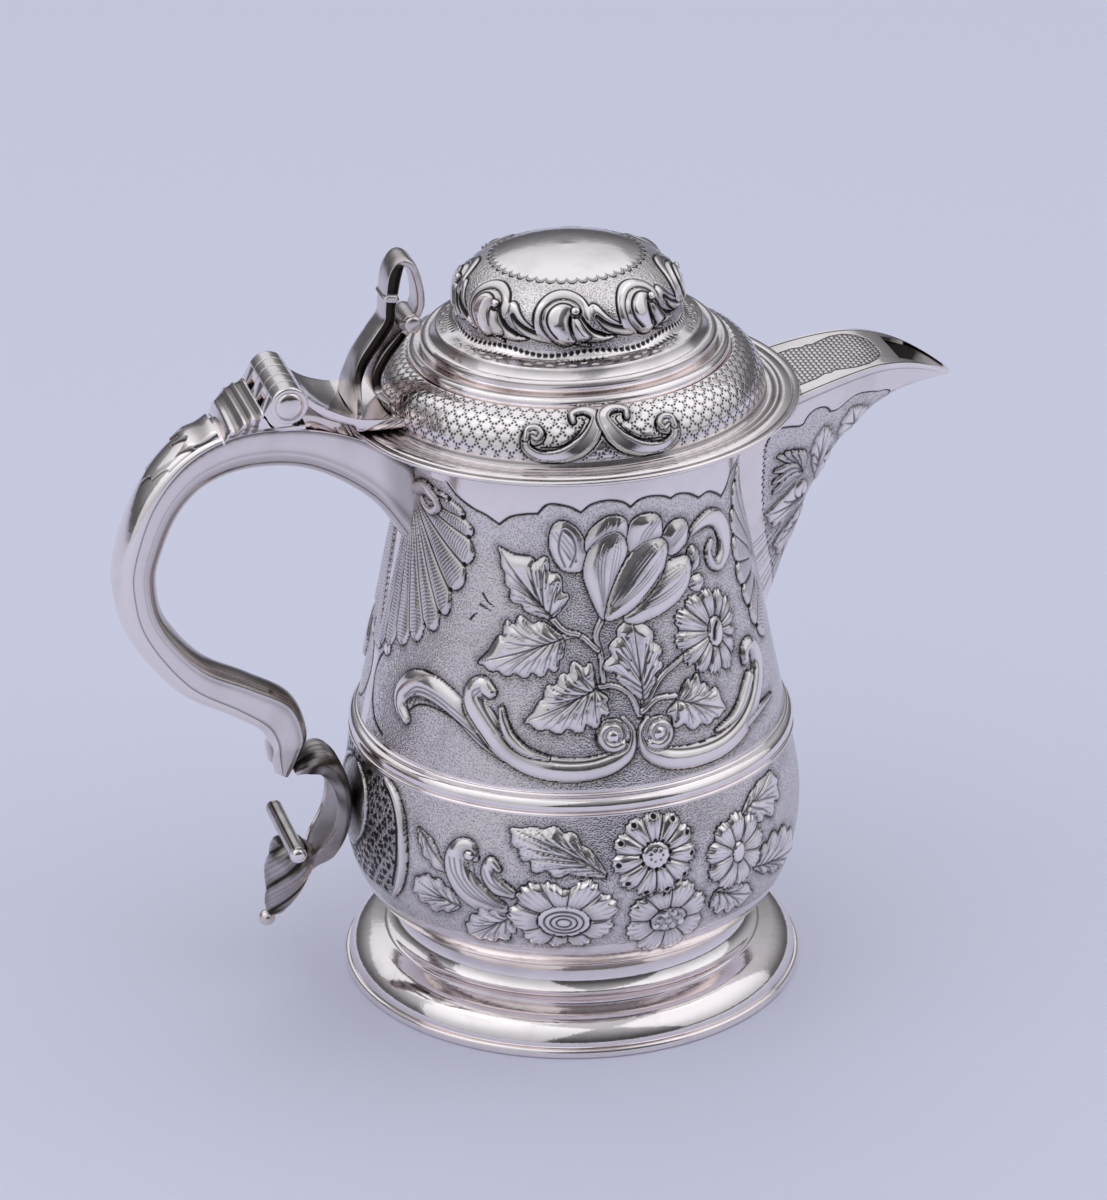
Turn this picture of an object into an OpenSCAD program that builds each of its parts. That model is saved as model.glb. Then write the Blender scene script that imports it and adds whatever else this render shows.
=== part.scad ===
// Lidded silver tankard with a beak spout, hollow double-scroll handle and five-knuckle lid hinge.
// Millimetres, +Z up, +X towards the spout, origin at the centre of the foot's underside.

/* [Body] */
// Widest radius of the belly
belly_r = 57.3; // [54:0.1:60]
// Height of the belly's widest line
belly_z = 46; // [42:0.5:50]
// Radius where the body sits on the foot
base_r = 44; // [40:0.1:47]
// Narrowest radius of the neck
neck_r = 41.4; // [39:0.1:43]
// Height of the narrowest line of the neck
neck_z = 136; // [130:0.5:140]
// Radius of the everted lip
lip_r = 45; // [44:0.1:46]
// Height of the lip
lip_z = 150.8; // [148:0.1:153]
// Thickness of the raised sheet
wall = 1; // [0.7:0.1:1.3]

/* [Foot] */
// How far the foot spreads beyond the belly, over its edge wire
foot_spread = 0.7; // [-1:0.1:4]
// Height of the foot
foot_h = 19.7; // [18:0.1:22]
// Radius of the step between the foot's two mouldings
foot_step_r = 47.6; // [46:0.1:50]
// Height of that step
foot_step_z = 10; // [8:0.1:12]
// Thickness of the foot
foot_t = 1.3; // [1:0.1:1.6]
// Width of the wire round the foot's edge
foot_wire_w = 1.1; // [0.8:0.1:1.6]
// Height of the wire round the foot's edge
foot_wire_h = 2.4; // [1.8:0.1:3]

/* [Bands] */
// Lower edge of the girdle
girdle_z = 65.4; // [62:0.1:70]
// Height of the girdle
girdle_h = 5.8; // [4:0.1:7]
// How far the girdle stands off the body
girdle_proud = 1.7; // [1:0.1:2.2]
// Height of the wire round the lip
lip_wire_h = 2.4; // [1.5:0.1:3]
// How far the lip wire stands off the body
lip_wire_proud = 1.2; // [0.8:0.1:1.6]

/* [Spout] */
// Reach of the spout's tip from the axis
spout_reach = 98; // [92:0.5:104]
// Height of the tip
spout_tip_z = 148.8; // [146:0.1:152]
// Distance of the cover's crest beyond the edge of the lid
crest_beyond = 19.5; // [15:0.5:24]
// Height of the cover's crest
spout_crest_z = 157.1; // [155:0.1:158]
// Height of the cover where it meets the body
spout_root_z = 149.6; // [148:0.1:150.5]
// Half width of the cover at the body
spout_half_w = 16.6; // [14:0.1:19]
// Height where the keel leaves the body
spout_heel_z = 88; // [80:0.5:95]
// Thickness of the spout's sheet
spout_t = 1.1; // [0.8:0.1:1.4]
// Thickness of the cover plate
cover_t = 1; // [0.8:0.1:1.4]
// Length of the pouring opening
pour_len = 15; // [11:0.5:17]
// Greatest width of the pouring opening
pour_w = 10.5; // [8:0.5:11]
// Diameter of one strainer hole in the body wall
strainer_d = 3; // [2:0.1:3.5]
// Distance between strainer holes
strainer_pitch = 6.5; // [5:0.1:8]

/* [Handle] */
// Width of the handle at the neck
grip_root_w = 16; // [13:0.1:18]
// Width of the handle at its lower scroll
grip_end_w = 10; // [8:0.1:12]
// Depth of the rounded inner side at the neck
grip_inner_root = 6.3; // [4:0.1:7]
// Depth of the rounded inner side at the lower scroll
grip_inner_end = 2; // [1.5:0.1:3]
// Crown of the outer side along the back of the handle
grip_crown = 4.2; // [3:0.1:5]
// Thickness of the handle's sheet
grip_t = 0.9; // [0.7:0.1:1.2]
// Height of the neck joint's middle
grip_root_z = 133.6; // [130:0.1:136]
// Height of the lower scroll's joint with the belly
scroll_z = 50.5; // [48:0.1:53]
// Width of the lower scroll
scroll_w = 16; // [12:0.1:18]
// Size that the lower scroll's curve is drawn to, close to half its height
scroll_size = 16; // [15:0.1:17]
// Diameter of the cross bar at the tail
bar_d = 4.2; // [3.5:0.1:5]
// Length of the cross bar over its end buttons
bar_len = 30; // [24:0.5:34]
// Length of the domed button at each end of the bar
button_len = 1.4; // [1:0.1:2]
// Height of the twisted drop
drop_h = 19.5; // [16:0.5:21]
// Tilt of the drop away from the body, in degrees
drop_tilt = 7; // [0:0.5:12]
// Diameter of the drop at its top
drop_d = 9.2; // [8:0.1:10]
// Diameter of the bead below the drop
bead_d = 4.2; // [3.5:0.1:5]

/* [Hinge] */
// Distance of the hinge axis beyond the edge of the lid
hinge_beyond = 16.6; // [15:0.1:20]
// Height of the hinge axis above the top of the lid's flange
hinge_rise = 10.8; // [10.5:0.1:12]
// Radius of the hinge barrel
barrel_r = 4.7; // [4:0.1:5]
// Length of the hinge barrel
barrel_len = 24.4; // [22:0.1:28]
// Length of the middle knuckle
mid_knuckle = 6; // [4.5:0.1:7]
// Radius of the hinge pin
pin_r = 1.5; // [1.2:0.1:2]
// Radius of the domed caps over the pin's ends
cap_r = 3.9; // [3:0.1:4.2]
// Height of the domed caps
cap_h = 1.3; // [0.8:0.1:1.8]
// Thickness of the leaf that runs down the handle from the bed
leaf_t = 1.3; // [0.9:0.1:1.6]

/* [Lid] */
// Radius of the lid's flange
flange_r = 56; // [54.5:0.1:58]
// Thickness of the flange
flange_t = 1.2; // [1:0.1:1.6]
// Radius of the foot of the scaled band
band_r = 47.7; // [47.2:0.1:49]
// Height of the scaled band
band_h = 11; // [9:0.1:12]
// Radius of the double moulding above the band
moulding_r = 39.1; // [37:0.1:41]
// Radius of the plateau round the dome
plateau_r = 33; // [31.5:0.1:34]
// Radius of the dome
dome_r = 27; // [25.5:0.1:28]
// Height of the dome above the flange's top
dome_top = 38.4; // [36:0.1:41]
// Thickness of the lid's sheet
lid_t = 0.8; // [0.6:0.1:1]
// Outer radius of the bezel that hangs in the mouth
bezel_r = 41; // [39:0.1:41]
// Depth of the bezel below the flange
bezel_depth = 4.5; // [3:0.1:6]
// Half width of the strap where it reaches the hinge
strap_half_w = 10; // [8.5:0.1:11]
// Half width of the strap where it spreads over the flange
strap_spread = 14.5; // [12:0.1:17]

/* [Thumbpiece] */
// Width of the thumbpiece's ribbon
thumb_w = 12; // [9:0.1:14]
// Thickness of the thumbpiece's ribbon
thumb_t = 2.2; // [1.6:0.1:2.6]
// Height that the thumbpiece's curves are drawn to, above the flange's top
thumb_h = 40; // [38:0.5:42]
// Diameter of the roll between its two ribbons
roll_d = 4.4; // [3.6:0.1:5]

/* [Chasing] */
// Height of the chased relief's main forms
relief_h = 1; // [0.6:0.1:1.2]

/* [Fits] */
// Radial clearance of the pin in its knuckles
pin_clear = 0.05; // [0.02:0.01:0.1]
// Side clearance between neighbouring knuckles
knuckle_clear = 0.15; // [0.1:0.05:0.3]
// Clearance of the moving barrel over what it turns past
swing_clear = 0.35; // [0.3:0.05:0.6]
// Solder seam between pieces that are joined
seam = 0.05; // [0.03:0.01:0.1]
// Gap between the lip and the flange of a level lid
lid_gap = 0.4; // [0.3:0.1:0.8]
// Gap over the spout's cover plate that the leaning lid comes to rest at
rest_gap = 0.45; // [0.3:0.05:0.8]

/* [Hidden] */
$fn = 96;
silver = [0.80, 0.79, 0.77];
worn_silver = [0.70, 0.68, 0.66];
foot_r = belly_r + foot_spread;
flange_z = lip_z + lid_gap;
flange_top = flange_z + flange_t;
hinge_x = flange_r + hinge_beyond;
hinge_z = flange_top + hinge_rise;
spout_crest_x = flange_r + crest_beyond;
mid_half = mid_knuckle / 2;
end_half = barrel_len / 2;
lid_knuckle = (end_half - mid_half) / 2;

// Curve helpers
function bezier(p, t) =
    p[0] * pow(1 - t, 3) + p[1] * 3 * t * pow(1 - t, 2) + p[2] * 3 * t * t * (1 - t) + p[3] * pow(t, 3);
function bezier_points(p, n) = [for (i = [0:n]) bezier(p, i / n)];
function blend(a, b, c, d, t) =
    0.5 * (2 * b + (c - a) * t + (2 * a - 5 * b + 4 * c - d) * t * t + (3 * b - a - 3 * c + d) * pow(t, 3));
function on_spline(p, t) =
    let (n = len(p) - 1, i = min(floor(t), n - 1))
    blend(p[max(i - 1, 0)], p[i], p[i + 1], p[min(i + 2, n)], t - i);
function unit(v) = v / norm(v);
function mix(a, b, t) = a + (b - a) * t;
function reverse(list) = [for (i = [len(list) - 1:-1:0]) list[i]];
function smooth(t) = let (u = min(max(t, 0), 1)) u * u * (3 - 2 * u);

// Body outline: an elliptical belly, a straight shoulder with eased ends, and a flared lip
shoulder_ease = [0.12, 0.14];
shoulder_slope = 1 / (1 - (shoulder_ease[0] + shoulder_ease[1]) / 2);
function shoulder(u) =
    u < shoulder_ease[0] ? shoulder_slope * u * u / (2 * shoulder_ease[0]) :
    u < 1 - shoulder_ease[1] ? shoulder_slope * (u - shoulder_ease[0] / 2) :
    1 - shoulder_slope * pow(1 - u, 2) / (2 * shoulder_ease[1]);
function body_r(z) =
    z < belly_z ? base_r + (belly_r - base_r) * sqrt(max(0, 1 - pow((belly_z - z) / (belly_z - foot_h), 2))) :
    z < neck_z ? belly_r - (belly_r - neck_r) * shoulder((z - belly_z) / (neck_z - belly_z)) :
    neck_r + (lip_r - neck_r) * pow((z - neck_z) / (lip_z - neck_z), 2);
function on_body(y, z) = sqrt(pow(body_r(z) + seam, 2) - y * y);

belly_steps = 14;
wall_steps = 40;
function belly_points(inset) =
    [for (i = [0:belly_steps - 1]) let (a = 90 * (1 - i / belly_steps))
        [base_r + (belly_r - inset - base_r) * cos(a), belly_z - (belly_z - foot_h - inset) * sin(a)]];
function wall_points(inset) =
    [for (i = [0:wall_steps]) let (z = mix(belly_z, lip_z, i / wall_steps)) [body_r(z) - inset, z]];

// Solids between a row of rings; each ring is an outer line followed by its inner line backwards
function ring_faces(rings, n) = [
    for (i = [0:rings - 2], j = [0:n - 1])
        let (a = i * n + j, b = i * n + (j + 1) % n)
        each [[a, b, b + n], [a, b + n, a + n]]
];
function strip_cap(first, n) = [
    for (j = [0:n / 2 - 2]) let (a = first + j, b = first + n - 1 - j) each [[a, b, b - 1], [a, b - 1, a + 1]]
];
function flip(faces) = [for (f = faces) reverse(f)];
module shell_between(rings) {
    n = len(rings[0]);
    last = (len(rings) - 1) * n;
    polyhedron(
        [for (r = rings) each r],
        concat(ring_faces(len(rings), n), strip_cap(0, n), flip(strip_cap(last, n))),
        convexity = 10
    );
}

// Body
strainer_rows = 6;
strainer_z = 112;
module strainer_holes() {
    for (row = [0:strainer_rows - 1])
        let (count = row % 2 == 0 ? 3 : 2, z = strainer_z + row * strainer_pitch * sin(60))
            for (i = [0:count - 1])
                translate([belly_r, (i - (count - 1) / 2) * strainer_pitch, z])
                    rotate([0, -90, 0])
                        cylinder(d = strainer_d, h = belly_r - neck_r / 2, $fn = 32);
}
module body() {
    outside = concat([[0, foot_h]], belly_points(0), wall_points(0));
    inside = concat([[0, foot_h + wall]], belly_points(wall), wall_points(wall));
    color(silver)
        difference() {
            rotate_extrude() polygon(concat(outside, reverse(inside)));
            strainer_holes();
        }
}

// Foot: an ovolo, a step and a cove up to the body
foot_edge = foot_r - foot_wire_w;
function foot_line() = concat(
    [[foot_edge, 0], [foot_edge, foot_wire_h]],
    [for (a = [10:10:70])
        [foot_step_r + (foot_edge - foot_step_r) * (0.12 + 0.88 * cos(a)),
            foot_wire_h + (foot_step_z - 0.6 - foot_wire_h) * sin(a)]],
    [[foot_step_r + 0.6, foot_step_z - 0.35], [foot_step_r, foot_step_z - 0.2],
        [foot_step_r, foot_step_z + 0.5]],
    bezier_points([[foot_step_r - 0.7, foot_step_z + 0.7], [base_r - 0.6, foot_step_z + 1.4],
        [base_r - 1.7, foot_h - 4], [base_r, foot_h - seam]], 10)
);
module foot() {
    line = foot_line();
    inside = [for (i = [1:len(line) - 2]) [line[i][0] - foot_t, line[i][1] - foot_t / 2]];
    color(silver)
        rotate_extrude()
            polygon(concat(
                line, [[base_r - 1.6 * foot_t, foot_h - seam]], reverse(inside), [[foot_edge - 2 * foot_t, 0]]
            ));
}
module foot_wire() {
    color(silver)
        rotate_extrude()
            polygon(concat(
                [[foot_edge + seam, 0], [foot_r - foot_wire_w / 2, 0]],
                [for (a = [-60:30:90])
                    [foot_r - foot_wire_w / 2 * (1 - cos(a)), foot_wire_h / 2 * (1 + sin(a))]],
                [[foot_edge + seam, foot_wire_h]]
            ));
}

// Applied mouldings of the body
girdle_steps = 8;
reed_share = 0.2;
module girdle() {
    reed = girdle_h * reed_share;
    swell = girdle_h - 2 * reed;
    z_mid = girdle_z + girdle_h / 2;
    inner = [for (i = [0:girdle_steps])
        let (z = girdle_z + girdle_h * i / girdle_steps) [body_r(z) + seam, z]];
    low = body_r(girdle_z) + girdle_proud * 0.75;
    high = body_r(girdle_z + girdle_h) + girdle_proud * 0.45;
    round_part = [for (a = [-90:15:90])
        let (z = z_mid + swell / 2 * sin(a)) [body_r(z) + girdle_proud * (0.35 + 0.65 * cos(a)), z]];
    color(silver)
        rotate_extrude()
            polygon(concat(
                [[low, girdle_z], [low, girdle_z + reed]], round_part,
                [[high, girdle_z + girdle_h - reed], [high, girdle_z + girdle_h]], reverse(inner)
            ));
}
module lip_wire() {
    z0 = lip_z - lip_wire_h;
    inner = [for (i = [0:4]) let (z = z0 + lip_wire_h * i / 4) [body_r(z) + seam, z]];
    bead = [for (a = [-75:15:75])
        let (z = lip_z - lip_wire_h / 2 * (1 - sin(a)))
        [body_r(z) + lip_wire_proud * (0.2 + 0.8 * cos(a)), z]];
    color(silver)
        difference() {
            rotate_extrude() polygon(concat(bead, reverse(inner)));
            translate([0, -spout_half_w - cover_t, z0 - cover_t])
                cube([spout_reach, 2 * (spout_half_w + cover_t), lip_wire_h + 2 * cover_t]);
        }
}

// Chased relief: low solids laid on the wall, drawn by degrees round from the front and by height above
// the girdle's lower edge, and mirrored on the other side
front_turn = 105.5;
relief_lift = 0.22;
lid_relief_lift = 0.28;
flute_half = 1.75;
// Leaves of the front spray, then of the belly
leaf_pads = [
    [
        [-5.6, 48.2], [-0.8, 52.8], [-4, 57.8], [-8.4, 62.2], [-13.4, 62.2], [-23.6, 63.8],
        [-22.6, 59.6], [-20.6, 55.6], [-18.6, 51.8], [-13, 49.3]
    ],
    [
        [-2.4, 43], [-8, 46.6], [-15.5, 47.4], [-19.9, 45.8], [-22.2, 41.8], [-27.6, 35.6], [-24, 34],
        [-19, 33.6], [-13.4, 33.8], [-8.4, 34.4], [-4.4, 36], [-2.6, 39.2]
    ],
    [
        [7.6, 31], [6.2, 36.8], [0.8, 37], [-2.4, 33.8], [-6.6, 31], [-9, 27], [-12.6, 22.8], [-9, 21],
        [-3.4, 20.6], [2.4, 21], [7, 22.2], [10.2, 25.2], [10.4, 28.6]
    ],
    [
        [20.8, 27.4], [14.5, 32.1], [10.2, 36], [12.2, 41], [14.6, 43.4], [18, 44.2], [24.4, 42],
        [27, 38.2], [27, 34.2], [24.5, 30.6]
    ],
    [
        [31, 25], [35, 28.4], [37.8, 28.2], [40.6, 26], [45, 23.8], [47.8, 19.2], [45, 17.8], [41, 17.2],
        [35.5, 17.4], [30.2, 19.2], [28, 22.8]
    ],
    [
        [-41.2, -9.2], [-36.8, -10.8], [-35.4, -12.4], [-33.6, -15.2], [-32, -17.8], [-35.6, -17.4],
        [-39, -15.2], [-40.8, -12.2]
    ],
    [
        [-28.8, -26.6], [-30.6, -23], [-34, -21], [-38, -20.6], [-41.6, -22.6], [-42.6, -26.6],
        [-40.4, -28.6], [-36.6, -30.2], [-32, -29.2]
    ],
    [
        [8.2, -14.6], [5, -9], [0.6, -4.8], [-4, -3.2], [-9.6, -3.4], [-15, -4], [-14.4, -7.6],
        [-12, -10.6], [-9, -13.4], [-3.6, -14.4], [2.6, -14.4]
    ],
    [
        [-17.8, -28.8], [-19.4, -27.2], [-22.6, -27], [-25.6, -29], [-27.4, -32], [-27, -34.4],
        [-24.6, -35.6], [-20.6, -35.4], [-17.4, -33.8]
    ],
    [
        [51, -6.8], [52.4, -4.6], [56, -3.2], [62.2, -2.8], [65.2, -5.8], [64.2, -9.6], [60, -12],
        [56.4, -11.2]
    ],
    [
        [54.6, -23.4], [57.6, -20], [62, -18.6], [67, -19.6], [72.2, -22.8], [76.8, -28.6],
        [73.4, -30.6], [68, -30.6], [62, -29.2], [57.2, -27]
    ],
    [
        [37.6, -28.4], [41, -28], [45.4, -28.2], [49.2, -29.2], [52, -31.6], [48.6, -33.4], [44, -33.6],
        [40, -32.2]
    ]
];
// Petals of the tulip, the daisy beside it and the large flower of the belly
petal_pads = [
    [
        [9.4, 48.2], [6.3, 53.5], [4.6, 59], [6.5, 64.4], [11.1, 67.8], [15.6, 68.3], [17.9, 66.1],
        [18.2, 62.9], [15.2, 58.5], [12.8, 54], [11, 48.8]
    ],
    [
        [12.8, 50.4], [14.9, 54], [19.4, 60.1], [24, 64], [29.4, 65.3], [32.6, 63.8], [32.8, 60.7],
        [29, 57], [22.2, 53.2], [15.6, 49.8]
    ],
    [
        [17, 47.4], [24, 51], [31, 55.2], [37.8, 58.4], [41.3, 57.6], [40.2, 52.9], [35.6, 49.4],
        [26.7, 46.7], [21, 46]
    ],
    [
        [-2.2, 59.8], [-5.1, 62.4], [-6.6, 66.3], [-5.6, 70.5], [-2.2, 72], [2, 70], [4, 67.1],
        [3, 63.1], [1.4, 60]
    ],
    [
        [35.6, 64], [36.8, 67], [39.4, 68.2], [41.8, 67], [42.2, 64.2], [40, 62.2], [36.8, 61.8]
    ],
    [
        [33.4, 41.1], [35, 45.7], [40.8, 48], [49.8, 47.7], [54.4, 45.6], [56.5, 38.5], [55, 33.4],
        [51.2, 28.8], [45.7, 29.4], [40.2, 31.4], [34.8, 35.9]
    ],
    [
        [-15.2, -26.5], [-13.6, -22.4], [-8.8, -17.2], [-2, -18.8], [4.2, -17.2], [9, -20.8],
        [11, -25.4], [8.8, -30.6], [4.2, -33.8], [-2, -34.2], [-8.8, -34.2], [-13, -31.2]
    ]
];
// C-scrolls, sweeps and borders: places and half widths along each
scroll_bands = [
    [
        [-51.4, 16, 0.8], [-54, 18.2, 1.5], [-54.4, 21.6, 2], [-50, 24.6, 2.4], [-43, 25.2, 2.3],
        [-37.4, 23.8, 1.7], [-33.4, 22, 0.9]
    ],
    [
        [14.8, 14.6, 1.2], [9, 12.1, 2], [3, 11.1, 2.3], [-4, 11.2, 2.4], [-10, 12.4, 2.5],
        [-15.6, 14.6, 2.6], [-20.6, 18, 2.6], [-25, 22.2, 2.5], [-28, 25.8, 2.1], [-27.2, 29.2, 1.3]
    ],
    [
        [21.2, 14.2, 1.2], [27, 11.6, 2], [33.6, 10.4, 2.3], [41, 10.4, 2.3], [48, 11.3, 2.4],
        [54.6, 13.4, 2.5], [60.2, 17, 2.5], [64.8, 21.8, 2.3], [66, 26.2, 1.9], [63.8, 29.6, 1.2]
    ],
    [
        [6.8, 68.2, 0.5], [9.6, 70.8, 1], [13.4, 71.9, 1.2], [17, 71, 1], [19.4, 68.8, 0.5]
    ],
    [
        [20.8, 66.6, 0.6], [22.6, 69.4, 1.2], [26.4, 70.5, 1.5], [30.4, 69.2, 1.2], [33.2, 66.4, 0.6]
    ],
    [
        [43.8, 62.2, 0.5], [48, 64.2, 1.3], [53.4, 65, 1.8], [57.8, 63.2, 2.2], [60, 60, 2.2],
        [58.4, 56.2, 1.8], [54.6, 54.2, 1]
    ],
    [
        [-54.4, -2.4, 0.6], [-51, -4.6, 1.1], [-47.8, -9, 1.4], [-46.4, -15.4, 1.5], [-46.4, -21, 1.4],
        [-48, -26.8, 1.1], [-50.4, -30.4, 0.6]
    ],
    [
        [-25.2, -10.6, 0.8], [-28.2, -11.8, 1.5], [-29, -15, 2], [-27.2, -19.2, 2.4],
        [-23.6, -22.4, 2.2], [-18.8, -24.4, 1.2]
    ],
    [
        [-18, -14.2, 0.5], [-20.2, -14.2, 0.9], [-20.4, -16.6, 1.1], [-18.2, -18.8, 1.2],
        [-15.2, -19.8, 0.6]
    ]
];
// Round forms: place, half width in degrees, half height
round_pads = [
    [11.7, 19.3, 3.6, 3.4], [24.2, 18.5, 3.6, 3.4], [45, -16.8, 9.4, 9.4], [24.4, -29.4, 8.7, 8.4],
    [20.9, -11.2, 9.6, 9.6]
];
// Shells: where the flutes start from, then where each ends and the share of that way left plain
shells = [
    [
        [-67, 71.6], [-47.5, 75.6, 0.42], [-39, 72.8, 0.42], [-34.6, 67.8, 0.42], [-33.4, 61, 0.42],
        [-36.2, 52.8, 0.42], [-40.4, 45.8, 0.42], [-45.2, 40, 0.42], [-51.4, 35.6, 0.42],
        [-58.4, 32.4, 0.59], [-65.4, 30, 0.55], [-71.6, 27.6, 0.52]
    ],
    [
        [84, 46.6], [74, 29, 0.42], [69.8, 34, 0.42], [67.2, 39.6, 0.42], [65.4, 45.5, 0.42],
        [64.9, 51.6, 0.42], [67, 58, 0.42], [69.6, 64.4, 0.42], [73.4, 69.6, 0.42]
    ]
];
function on_profile(table, s) = table == [] ? [body_r(s), s] : [lookup(s, table[0]), lookup(s, table[1])];
function laid(table, p, lift) =
    let (
        ahead = on_profile(table, p[1] + 0.1) - on_profile(table, p[1] - 0.1),
        gap = table == [] ? relief_lift : lid_relief_lift,
        q = on_profile(table, p[1]) + (gap + lift) * unit([ahead[1], -ahead[0]]),
        a = p[0] - front_turn
    )
    [q[0] * cos(a), q[0] * sin(a), q[1]];
function total(list) = [for (x = list) 1] * list;
function anticlockwise(o) =
    total([for (i = [0:len(o) - 1]) cross(o[i], o[(i + 1) % len(o)])]) > 0 ? o : reverse(o);
pad_rings = [[1, 0.35], [0.62, 0.9], [0.28, 1]];
function pad_top(n) = concat(
    [for (i = [0:len(pad_rings) - 2], j = [0:n - 1])
        let (a = i * n + j, b = i * n + (j + 1) % n) each [[a, a + n, b + n], [a, b + n, b]]],
    [for (j = [0:n - 1]) let (first = (len(pad_rings) - 1) * n) [first + j, first + n, first + (j + 1) % n]]
);
function pad_faces(n) =
    let (top = pad_top(n), under = len(pad_rings) * n + 1)
    concat(
        top, flip([for (f = top) [for (k = f) k + under]]),
        [for (j = [0:n - 1]) let (k = (j + 1) % n) each [[j, k, k + under], [j, k + under, j + under]]]
    );
function pad(table, outline, height) =
    let (o = anticlockwise(outline), n = len(o), middle = total(o) / n)
    [
        [for (top = [1, 0])
            each concat(
                [for (ring = pad_rings, p = o) laid(table, mix(middle, p, ring[0]), top * height * ring[1])],
                [laid(table, middle, top * height)]
            )],
        pad_faces(n)
    ];
function band(table, rows, height) =
    let (
        last = len(rows) - 1,
        k = on_profile(table, rows[0][1])[0] * PI / 180,
        sections = [for (i = [0:last])
            let (
                p = rows[i],
                step = rows[min(i + 1, last)] - rows[max(i - 1, 0)],
                side = p[2] * unit([-step[1], step[0] * k]),
                at = function(w, lift) laid(table, [p[0] + side[0] * w / k, p[1] + side[1] * w], lift)
            )
            [at(-1, 0), at(-0.5, height), at(0.5, height), at(1, 0), at(0.33, 0), at(-0.33, 0)]],
        n = len(sections[0])
    )
    [
        [for (s = sections) each s],
        concat(ring_faces(last + 1, n), strip_cap(0, n), flip(strip_cap(last * n, n)))
    ];
module relief(parts) {
    starts = [for (i = 0, n = 0; i < len(parts); n = n + len(parts[i][0]), i = i + 1) n];
    polyhedron(
        [for (p = parts) each p[0]],
        [for (i = [0:len(parts) - 1], f = parts[i][1]) [for (k = f) k + starts[i]]],
        convexity = 10
    );
}
function raised(list) = [for (p = list) p + [0, girdle_z]];
function raised_rows(list) = [for (p = list) p + [0, girdle_z, 0]];
function disc(p) = [for (k = [0:11]) [p[0] + p[2] * cos(30 * k), p[1] + p[3] * sin(30 * k)]];
function flute(from, end) =
    [for (t = [end[2], (end[2] + 0.95) / 2, 0.95])
        [mix(from[0], end[0], t), mix(from[1], end[1], t), flute_half * t]];
module body_relief() {
    color(silver)
        for (side = [0, 1])
            mirror([0, side, 0])
                relief(concat(
                    [for (o = leaf_pads) pad([], raised(o), 0.85 * relief_h)],
                    [for (o = petal_pads) pad([], raised(o), 1.1 * relief_h)],
                    [for (o = round_pads) pad([], raised(disc(o)), relief_h)],
                    [for (o = scroll_bands) band([], raised_rows(o), 1.1 * relief_h)],
                    [for (s = shells, i = [1:len(s) - 1])
                        band([], raised_rows(flute(s[0], s[i])), 0.8 * relief_h)]
                ));
}

// Spout: a V-shaped beak with a rounded keel, closed by a cover plate with a pouring opening
spout_root_x = lip_r - 1;
spout_span = spout_reach - spout_root_x;
function cover_z(x) =
    x < spout_crest_x ?
        spout_crest_z - (spout_crest_z - spout_root_z)
            * pow((spout_crest_x - x) / (spout_crest_x - spout_root_x), 1.5) :
        spout_crest_z - (spout_crest_z - spout_tip_z)
            * pow((x - spout_crest_x) / (spout_reach - spout_crest_x), 2);
function cover_half(x) = spout_half_w * pow(max(0, 1 - pow((x - spout_root_x) / spout_span, 2)), 0.6);
keel = [
    [body_r(spout_heel_z), spout_heel_z], [body_r(spout_heel_z) + 10, spout_heel_z + 25],
    [lip_r + 18, spout_tip_z - 4], [spout_reach - 1, spout_tip_z - 1.4]
];
keel_round = 0.72;
spout_rings = 18;
spout_sides = 9;
function root_shift(rise, half) =
    on_body(half * pow(rise, keel_round), root_height(rise)) - mix(body_r(spout_heel_z), spout_root_x, rise);
function root_height(rise) = mix(spout_heel_z, spout_root_z - cover_t - seam, rise);
function spout_point(u, v, inset) =
    let (
        side = u < 0 ? -1 : 1,
        rise = abs(u),
        fade = pow(1 - v, 3),
        root_half = spout_half_w - inset,
        ahead = unit(bezier(keel, min(v + 0.02, 1)) - bezier(keel, max(v - 0.02, 0))),
        foot = bezier(keel, v) + inset * 1.3 * [-ahead[1], ahead[0]],
        x_flat = spout_root_x + spout_span * v,
        x_top = x_flat + root_shift(1, root_half) * fade,
        top = [x_top, cover_z(max(x_top, spout_root_x)) - cover_t - seam],
        y = side * max(cover_half(x_flat) - inset, 0.1) * pow(rise, keel_round),
        p = mix(foot, top, rise),
        z_root = root_height(rise) + inset * 1.3 * (1 - rise)
    )
    v == 0 ?
        [on_body(y, z_root), y, z_root] :
        [p[0] + (root_shift(rise, root_half) - rise * root_shift(1, root_half)) * fade, y, p[1]];
module spout() {
    us = [for (j = [spout_sides:-1:-spout_sides]) j / spout_sides];
    color(silver)
        shell_between([for (i = [0:spout_rings]) let (v = i / spout_rings) concat(
            [for (u = us) spout_point(u, v, 0)],
            [for (u = reverse(us)) spout_point(u, v * (1 - 1.5 * spout_t / spout_span), spout_t)]
        )]);
}
cover_steps = 28;
module cover_plan() {
    xs = [for (i = [0:cover_steps]) spout_root_x - 8 + (spout_span + 8) * sin(90 * i / cover_steps)];
    half = [for (x = xs) [x, x < spout_root_x ? spout_half_w : cover_half(x)]];
    polygon(concat(half, [for (p = reverse(half)) [p[0], -p[1]]]));
}
module pour_plan() {
    tip = spout_reach - 2.2;
    inner = tip - pour_len;
    side = bezier_points([[inner, 0], [inner + pour_len * 0.15, pour_w * 0.7],
        [tip - pour_len * 0.3, pour_w * 0.55], [tip, 0]], 12);
    polygon(concat(side, [for (i = [11:-1:1]) [side[i][0], -side[i][1]]]));
}
module cover_profile() {
    xs = [for (i = [0:cover_steps]) mix(spout_root_x - 8, spout_reach, i / cover_steps)];
    top = [for (x = xs) [x, cover_z(max(x, spout_root_x))]];
    polygon(concat(top, [for (p = reverse(top)) [p[0], p[1] - cover_t]]));
}
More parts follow.
